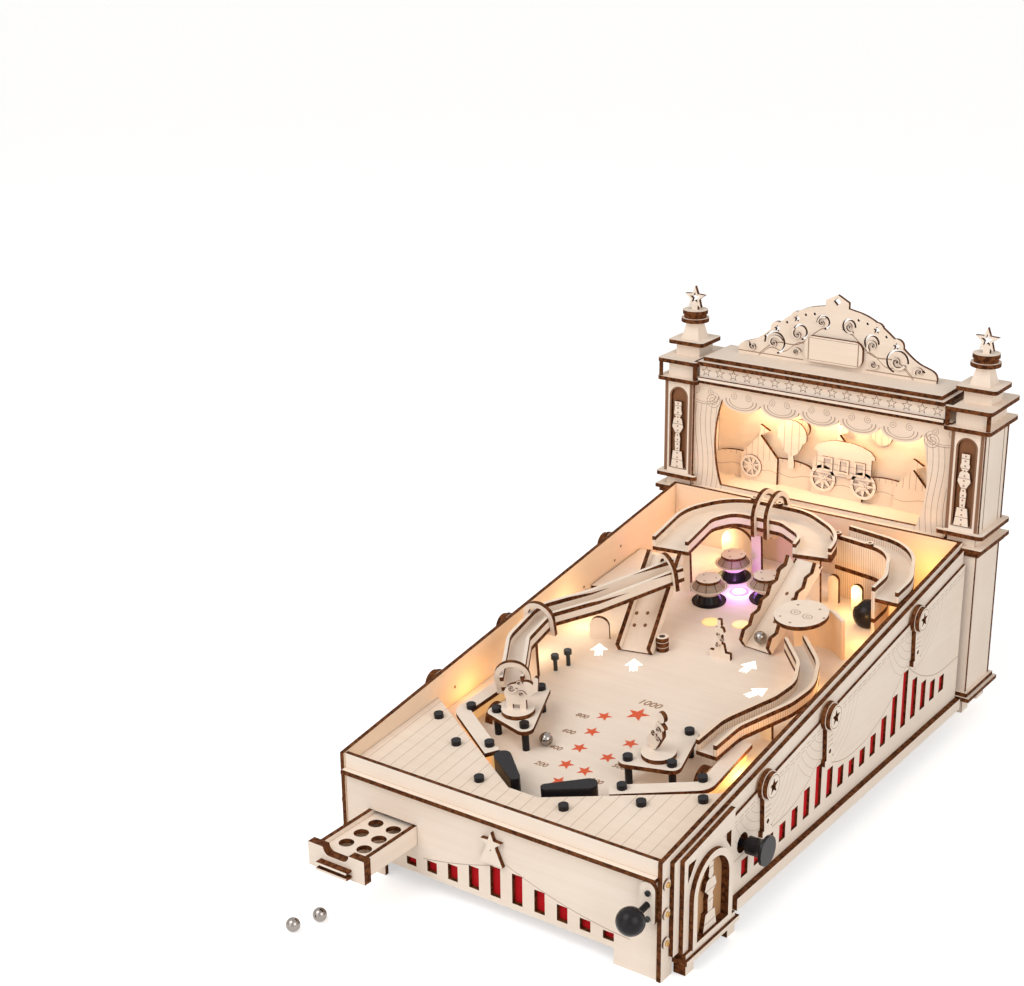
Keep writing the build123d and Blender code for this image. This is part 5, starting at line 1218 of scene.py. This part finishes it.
def stage_wheels(radius, thick):
    """Wheels with a rim, eight spokes and a stepped hub."""
    rim = disc("wheel_rim", radius, sides=40, fill="NOTHING")
    pick(rim, "EDGE", lambda edge: True)
    draw_out(ORIGIN)
    resize((RIM_INNER_SHARE, RIM_INNER_SHARE, 1))
    thickened(rim, thick)
    spoke = panel("wheel_spokes", radius * SPOKE_LENGTH_SHARE, radius * SPOKE_WIDTH_SHARE)
    bpy.ops.mesh.subdivide(number_cuts=2)
    pick(spoke, "VERT", lambda corner: abs(corner.co.x) < radius / 2)
    resize(SPOKE_SWELL)
    thickened(spoke, thick * SPOKE_THICKNESS_SHARE)
    turns = [math.pi * bar / SPOKE_BARS for bar in range(SPOKE_BARS)]
    spokes = copies(spoke, [Matrix.Rotation(turn, 4, "Z") for turn in turns])
    hub = disc("wheel_hub", radius * HUB_RADIUS_SHARE, sides=20)
    draw_out((0, 0, thick * HUB_THICKNESS_SHARE))
    step_in(radius * HUB_STEP_SHARE, thick * HUB_CAP_SHARE)
    closed(hub)
    return copies(joined([rim, spokes, hub], "stage_wheels"), [on_wall(*place) for place in WHEELS])


def stage_wagon(width, thick):
    """A wagon with a rounded roof and three framed windows."""
    wagon = panel("stage_wagon", width, width * WAGON_HEIGHT_SHARE)
    pick_edges(wagon, lambda corner: corner.y > 0)
    for rise, share in WAGON_ROOF:
        draw_out((0, width * rise, 0))
        resize((share, 1, 1))
    thickened(wagon, thick)
    window = panel("wagon_windows", width * WINDOW_WIDTH_SHARE, width * WINDOW_HEIGHT_SHARE)
    bpy.ops.mesh.inset(thickness=width * WINDOW_FRAME_SHARE)
    bpy.ops.mesh.delete(type="FACE")
    thickened(window, thick * WINDOW_THICKNESS_SHARE)
    windows = copies(window, [Matrix.Translation((width * share, 0, thick)) for share in WINDOWS_ASIDE])
    cart = joined([wagon, windows], "stage_wagon")
    cart.matrix_world = on_wall(*WAGON) @ cart.matrix_world
    return cart


def stage_balloon(radius, thick):
    """A balloon that narrows to its neck, with a basket."""
    waist = -radius * BALLOON_WAIST_SHARE
    neck = -radius * BALLOON_NECK_SHARE
    balloon = disc("stage_balloon", radius, sides=32)
    pick(balloon, "VERT", lambda corner: corner.co.y < waist)
    resize(BALLOON_TAPER, (0, waist, 0))
    pick_edges(balloon, lambda corner: corner.y < neck)
    draw_out((0, -radius * ROPES_SHARE, 0))
    resize((BASKET_SPREAD, 1, 1))
    draw_out((0, -radius * BASKET_SHARE, 0))
    thickened(balloon, thick)
    balloon.matrix_world = on_wall(*BALLOON) @ balloon.matrix_world
    return balloon


def pediment_scrolls(hand, thick):
    """Scrolls on one half of the pediment, all of one thickness."""
    places = []
    for aside, rise, reach, turn in SCROLLS:
        there = on_wall(-hand * aside, PEDIMENT_FACE, rise, hand * turn, reach)
        places.append(there @ Matrix.Diagonal((1, 1, 1 / reach, 1)))
    return copies(scroll("scroll", hand, SCROLL_BAND_SHARE, thick), places)


def figure_curls(hand, thick):
    """Curls of one hand on the faces of the playfield's figures."""
    upright_turn = Matrix.Rotation(math.pi / 2, 4, "X")
    places = []
    for foot, heading, marks in FIGURE_CURLS:
        turn = Matrix.Rotation(math.radians(heading), 4, "Z")
        for aside, above, radius in marks:
            if (aside > 0) == (hand > 0):
                there = on_field(*foot, above) @ turn @ Matrix.Translation((aside * MM, 0, 0))
                places.append(there @ upright_turn @ Matrix.Diagonal((radius, radius, 1, 1)))
    return copies(scroll("curl", hand, CURL_BAND_SHARE, thick * CURL_THICKNESS_SHARE), places)


class PINBALL_OT_relief(bpy.types.Operator):
    """Sets a wagon and a balloon on the stage, scrolls on the pediment and curls on the figures"""

    bl_idname = "pinball.relief"
    bl_label = "Relief"

    def execute(self, context):
        size = sizes()
        thick = size.relief_thickness
        wheels = stage_wheels(size.wheel_radius, thick)
        cart = stage_wagon(size.wagon_width, thick)
        balloon = stage_balloon(size.balloon_radius, thick)
        relief = plywood("ply_relief", FRONT_FACES, engraving=relief_lines, depth=0.6)
        settle(joined([wheels, cart, balloon], "stage_figures"), relief)
        scrolls = joined([pediment_scrolls(hand, thick) for hand in (1, -1)], "pediment_scrolls")
        settle(scrolls, plywood("ply_scroll", FRONT_FACES))
        curls = joined([figure_curls(hand, thick) for hand in (1, -1)], "figure_curls")
        settle(curls, plywood("ply_curl", UPRIGHT_FACES, "z", True))
        return {"FINISHED"}


# Pegs and screws: places and the lens's middle in millimetres, shapes as shares of a radius or height
TRACK_PEGS = ((-38.0, 390.7, 53.0), (-17.0, 390.7, 53.0), (38.4, 374.1, 48.0), (65.6, 368.8, 48.0))
RAMP_STACK = (-30.0, 243.5)
STACK_LAYERS, STACK_SHARE, STACK_STEP = 3, 1.7, 2.1
PEG_HEIGHT, PEG_RIM, PEG_ROUNDING = 0.7, 0.5, 0.06
PEG_BORE_SHARE = 0.5
PEG_PIN_RADIUS, PEG_PIN_ROUNDING = 0.42, 0.08
PEG_PIN_RISE_SHARE = 0.05
PEG_TOP_SHARE = 0.99
BUMPER_LENS = (-25.9, 343.9)
LENS_MIDDLE = 1.5
LENS_RIM = 0.2
LANE_PINS = ((-79.7, 184.2), (-75.8, 194.2))
LANE_PIN_SHAFT, LANE_PIN_HEAD, LANE_PIN_HEAD_SPREAD, LANE_PIN_ROUNDING = 6, 2.2, 1.9, 0.3
PLATE_SCREWS = ((109.6, -2.0, 57.6), (109.6, -2.0, 40.8))
PLATE_SCREW_HEIGHT, PLATE_SCREW_RIM, PLATE_SCREW_BORE = 0.7, 0.4, 0.3
WALL_SCREWS = ((4.0, 63.0), (4.0, 44.0), (4.0, 25.0))
WALL_SCREW_HEIGHT, WALL_SCREW_ROUNDING, WALL_SCREW_RIM, WALL_SCREW_BORE = 0.6, 0.15, 0.35, 0.25
LUG_RADIUS, LUG_HEIGHT, LUG_RIM, LUG_STEP = 1.95, 0.5, 0.2, 0.1


class PINBALL_OT_pegs(bpy.types.Operator):
    """Sets pegs on the tracks, screws on the walls, pins by the lane and the lens between the bumpers"""

    bl_idname = "pinball.pegs"
    bl_label = "Pegs and screws"

    def execute(self, context):
        black = bpy.data.materials["gloss_black"]
        sides = [on_side(side, *there) for side in (1, -1) for there in WALL_SCREWS]
        self.set_pegs(sizes().peg_radius, black)
        self.set_screw_lugs(sizes().screw_radius, sides)
        self.set_plate_screws(sizes().screw_radius, black)
        self.set_lane_pins(sizes().pin_radius, black)
        self.set_wall_screws(sizes().screw_radius, sides)
        self.set_lens(sizes().lens_radius, sizes().mark_thickness * 2)
        return {"FINISHED"}

    def set_pegs(self, radius, black):
        height = radius * PEG_HEIGHT
        places = [on_field(*there) for there in TRACK_PEGS]
        for layer in range(STACK_LAYERS):
            places.append(on_field(*RAMP_STACK, layer * height * STACK_STEP / MM, share=STACK_SHARE))
        peg = stud("track_pegs", radius, height, sides=24)
        step_in(radius * PEG_RIM, -height * PEG_BORE_SHARE)
        pick_edges(peg, lambda corner: corner.z > height * PEG_TOP_SHARE)
        round_off(radius * PEG_ROUNDING)
        closed(peg)
        settle(copies(peg, places), plywood("ply_peg", FIELD_FACES, "x", True))
        pin = stud("peg_pins", radius * PEG_PIN_RADIUS, height, sides=16, foot=height * PEG_PIN_RISE_SHARE)
        round_off(radius * PEG_PIN_ROUNDING)
        closed(pin)
        settle(copies(pin, places), black)

    def set_screw_lugs(self, radius, places):
        lug = stud("screw_lugs", radius * LUG_RADIUS, radius * LUG_HEIGHT, sides=28)
        step_in(radius * LUG_RIM, radius * LUG_STEP)
        closed(lug)
        settle(copies(lug, places), plywood("ply_lug", SIDE_FACES, "z"))

    def set_plate_screws(self, radius, black):
        plate = stud("plate_screws", radius, radius * PLATE_SCREW_HEIGHT, sides=24)
        step_in(radius * PLATE_SCREW_RIM, -radius * PLATE_SCREW_BORE)
        closed(plate)
        settle(copies(plate, [on_wall(*there) for there in PLATE_SCREWS]), black)

    def set_lane_pins(self, radius, black):
        shaft = radius * LANE_PIN_SHAFT
        pin = stud("lane_pins", radius, shaft, sides=24)
        draw_out(ORIGIN)
        resize((LANE_PIN_HEAD_SPREAD, LANE_PIN_HEAD_SPREAD, 1), (0, 0, shaft))
        draw_out((0, 0, radius * LANE_PIN_HEAD))
        round_off(radius * LANE_PIN_ROUNDING)
        closed(pin)
        settle(copies(pin, [on_field(*there) for there in LANE_PINS]), black)

    def set_wall_screws(self, radius, places):
        paint = colours()
        head = stud("wall_screws", radius, radius * WALL_SCREW_HEIGHT, sides=24)
        round_off(radius * WALL_SCREW_ROUNDING)
        pick(head, "FACE", lambda face: faces_up(face) and face.calc_area() > radius * radius)
        step_in(radius * WALL_SCREW_RIM, -radius * WALL_SCREW_BORE)
        closed(head)
        raised = Matrix.Translation((0, 0, radius * (LUG_HEIGHT + LUG_STEP)))
        brass = speckled(
            "brass", paint.brass, paint.brass_dull, rough=0.22, spread=0.2, scale=1.5, metallic=1.0
        )
        settle(copies(head, [there @ raised for there in places]), brass)

    def set_lens(self, radius, step):
        paint = colours()
        lens = disc("bumper_lens", radius, sides=40)
        draw_out((0, 0, step))
        step_in(radius * LENS_RIM, step)
        closed(lens)
        lens.matrix_world = on_field(*BUMPER_LENS) @ lens.matrix_world
        finish = Finish("lit_violet")
        across, along, _ = finish.parts(finish.place(lying=True))
        rim_share = finish.ramp(reach_from(across, along, BUMPER_LENS), LENS_MIDDLE, radius / MM)
        glow = finish.mix(rim_share, paint.lens_white, paint.lens_violet)
        violet = finish.surface(base_color=glow, roughness=0.3, emission_color=glow, emission_strength=1.0)
        settle(lens, violet)


# Lamps inside, by name, place, tint, power in watts and radius
STAGE_LAMPS = (
    ("stage_lamp_left", (-52, 424, 208), (1.0, 0.85, 0.56), 0.039, 7),
    ("stage_lamp_middle", (0, 424, 210), (1.0, 0.86, 0.58), 0.039, 7),
    ("stage_lamp_right", (52, 424, 208), (1.0, 0.85, 0.56), 0.031, 7),
)
FIELD_LAMPS = (
    ("left_guide_lamp", (-96, 128, 6), (1.0, 0.70, 0.30), 0.010, 4),
    ("left_rail_lamp", (-100, 196, 12), (1.0, 0.76, 0.42), 0.006, 5),
    ("left_lane_lamp", (-98, 246, 14), (1.0, 0.74, 0.38), 0.013, 5),
    ("right_corner_lamp", (98, 132, 7), (1.0, 0.70, 0.30), 0.016, 4),
    ("right_rail_lamp", (98, 232, 8), (1.0, 0.66, 0.26), 0.017, 5),
    ("bumper_lamp", (-25, 341, 7), (0.66, 0.26, 1.0), 0.022, 3),
    ("orbit_lamp", (60, 350, 16), (1.0, 0.62, 0.22), 0.018, 5),
    ("curtain_lamp", (88, 312, 14), (1.0, 0.62, 0.22), 0.014, 5),
    ("loop_lamp", (-64, 384, 18), (1.0, 0.70, 0.32), 0.013, 5),
    ("left_back_lamp", (-88, 345, 26), (1.0, 0.66, 0.30), 0.005, 6),
    ("back_lamp", (96, 384, 24), (1.0, 0.60, 0.20), 0.020, 5),
)


class PINBALL_OT_lamps(bpy.types.Operator):
    """Lights the stage, the bumpers and the lit walls from inside"""

    bl_idname = "pinball.lamps"
    bl_label = "Lamps inside"

    def execute(self, context):
        placed = [(name, spot(*there), *rest) for name, there, *rest in STAGE_LAMPS]
        placed += [(name, field_spot(*there), *rest) for name, there, *rest in FIELD_LAMPS]
        for name, there, tint, power, radius in placed:
            bpy.ops.object.light_add(type="POINT", location=there)
            lamp = context.object
            lamp.name = name
            lamp.data.color = tint
            lamp.data.energy = power * studio().lamp_share
            lamp.data.shadow_soft_size = radius * MM
        return {"FINISHED"}


# Studio, in metres: each soft light by name, power, place and span
STUDIO_LIGHTS = (
    ("key_light", "key_power", (-0.5, -1.1, 1.5), 1.2),
    ("fill_light", "fill_power", (1.4, -0.5, 0.9), 1.2),
    ("front_light", "front_power", (-0.3, -1.6, 0.45), 1.0),
)
STUDIO_AIM = Vector((0, 0.05, 0.1))
FLOOR_SPAN = 12
FLOOR_PALE, FLOOR_GREY, FLOOR_GLOW = (0.86,) * 3, (0.82,) * 3, (0.50,) * 3
BLACK, WHITE = (0, 0, 0), (1, 1, 1)
SKY_TINT = (1, 0.99, 0.97)


class PINBALL_OT_stage(bpy.types.Operator):
    """Sets the floor, the soft studio lights, the sky and the camera"""

    bl_idname = "pinball.stage"
    bl_label = "Stage"

    def execute(self, context):
        self.set_floor(context)
        self.set_lights(context)
        self.set_sky(context)
        self.set_camera(context)
        return {"FINISHED"}

    def set_floor(self, context):
        bpy.ops.object.select_all(action="DESELECT")
        bpy.ops.mesh.primitive_plane_add(size=FLOOR_SPAN, location=ORIGIN)
        floor = context.object
        floor.name = "floor"
        pale = Finish("pale_floor")
        speck = pale.noise(pale.place(), scale=0.01)
        pale.surface(
            base_color=pale.mix(speck, FLOOR_PALE, FLOOR_GREY),
            roughness=0.7,
            emission_color=pale.mix(pale.seen(), BLACK, FLOOR_GLOW),
            emission_strength=1.0,
        )
        floor.data.materials.append(pale.owner)

    def set_lights(self, context):
        for name, power, place, span in STUDIO_LIGHTS:
            bpy.ops.object.light_add(type="AREA", location=place)
            lamp = context.object
            lamp.name = name
            lamp.data.energy = getattr(studio(), power)
            lamp.data.size = span
            lamp.rotation_mode = "QUATERNION"
            lamp.rotation_quaternion = (STUDIO_AIM - lamp.location).to_track_quat("-Z", "Y")

    def set_sky(self, context):
        """An even light all round, and plain white where the camera looks."""
        sky = Finish("studio", bpy.data.worlds.new("studio"))
        context.scene.world = sky.owner
        even = sky.tree.nodes["Background"]
        sky.feed(even.inputs["Color"], SKY_TINT)
        sky.feed(even.inputs["Strength"], studio().sky)
        white = sky.node("ShaderNodeBackground", {}, {"Color": WHITE, "Strength": 1.0})
        both = sky.node("ShaderNodeMixShader", {}, {0: sky.seen(), 1: Wire(sky, even.outputs[0]), 2: white})
        sky.feed(sky.tree.nodes["World Output"].inputs[0], both)

    def set_camera(self, context):
        bpy.ops.object.camera_add(location=CAMERA_PLACE)
        eye = context.object
        eye.name = "photo_camera"
        eye.rotation_mode = "QUATERNION"
        eye.rotation_quaternion = CAMERA_TURN
        eye.data.sensor_width = CAMERA_SENSOR
        eye.data.lens = CAMERA_LENS
        eye.data.shift_x, eye.data.shift_y = CAMERA_SHIFT
        eye.data.clip_end = CAMERA_REACH
        context.scene.camera = eye
        context.scene.view_settings.view_transform = "Standard"


class PINBALL_PT_panel(bpy.types.Panel):
    """The game's finishing steps in the sidebar"""

    bl_label = "Pinball game"
    bl_idname = "PINBALL_PT_panel"
    bl_space_type = "VIEW_3D"
    bl_region_type = "UI"
    bl_category = "Pinball"

    def draw(self, context):
        for step in STEPS:
            self.layout.operator(step.bl_idname)


STEPS = (
    PINBALL_OT_sheet, PINBALL_OT_fittings, PINBALL_OT_marks, PINBALL_OT_relief, PINBALL_OT_pegs,
    PINBALL_OT_lamps, PINBALL_OT_stage,
)
GROUPS = (PinballColours, PinballSizes, PinballStudio)


def register():
    for made in GROUPS + STEPS + (PINBALL_PT_panel,):
        bpy.utils.register_class(made)
    bpy.types.Scene.pinball_colours = PointerProperty(type=PinballColours)
    bpy.types.Scene.pinball_sizes = PointerProperty(type=PinballSizes)
    bpy.types.Scene.pinball_studio = PointerProperty(type=PinballStudio)


def unregister():
    del bpy.types.Scene.pinball_colours, bpy.types.Scene.pinball_sizes, bpy.types.Scene.pinball_studio
    for made in reversed(GROUPS + STEPS + (PINBALL_PT_panel,)):
        bpy.utils.unregister_class(made)


def main():
    register()
    for step in STEPS:
        group, name = step.bl_idname.split(".")
        getattr(getattr(bpy.ops, group), name)()


if __name__ == "__main__":
    main()
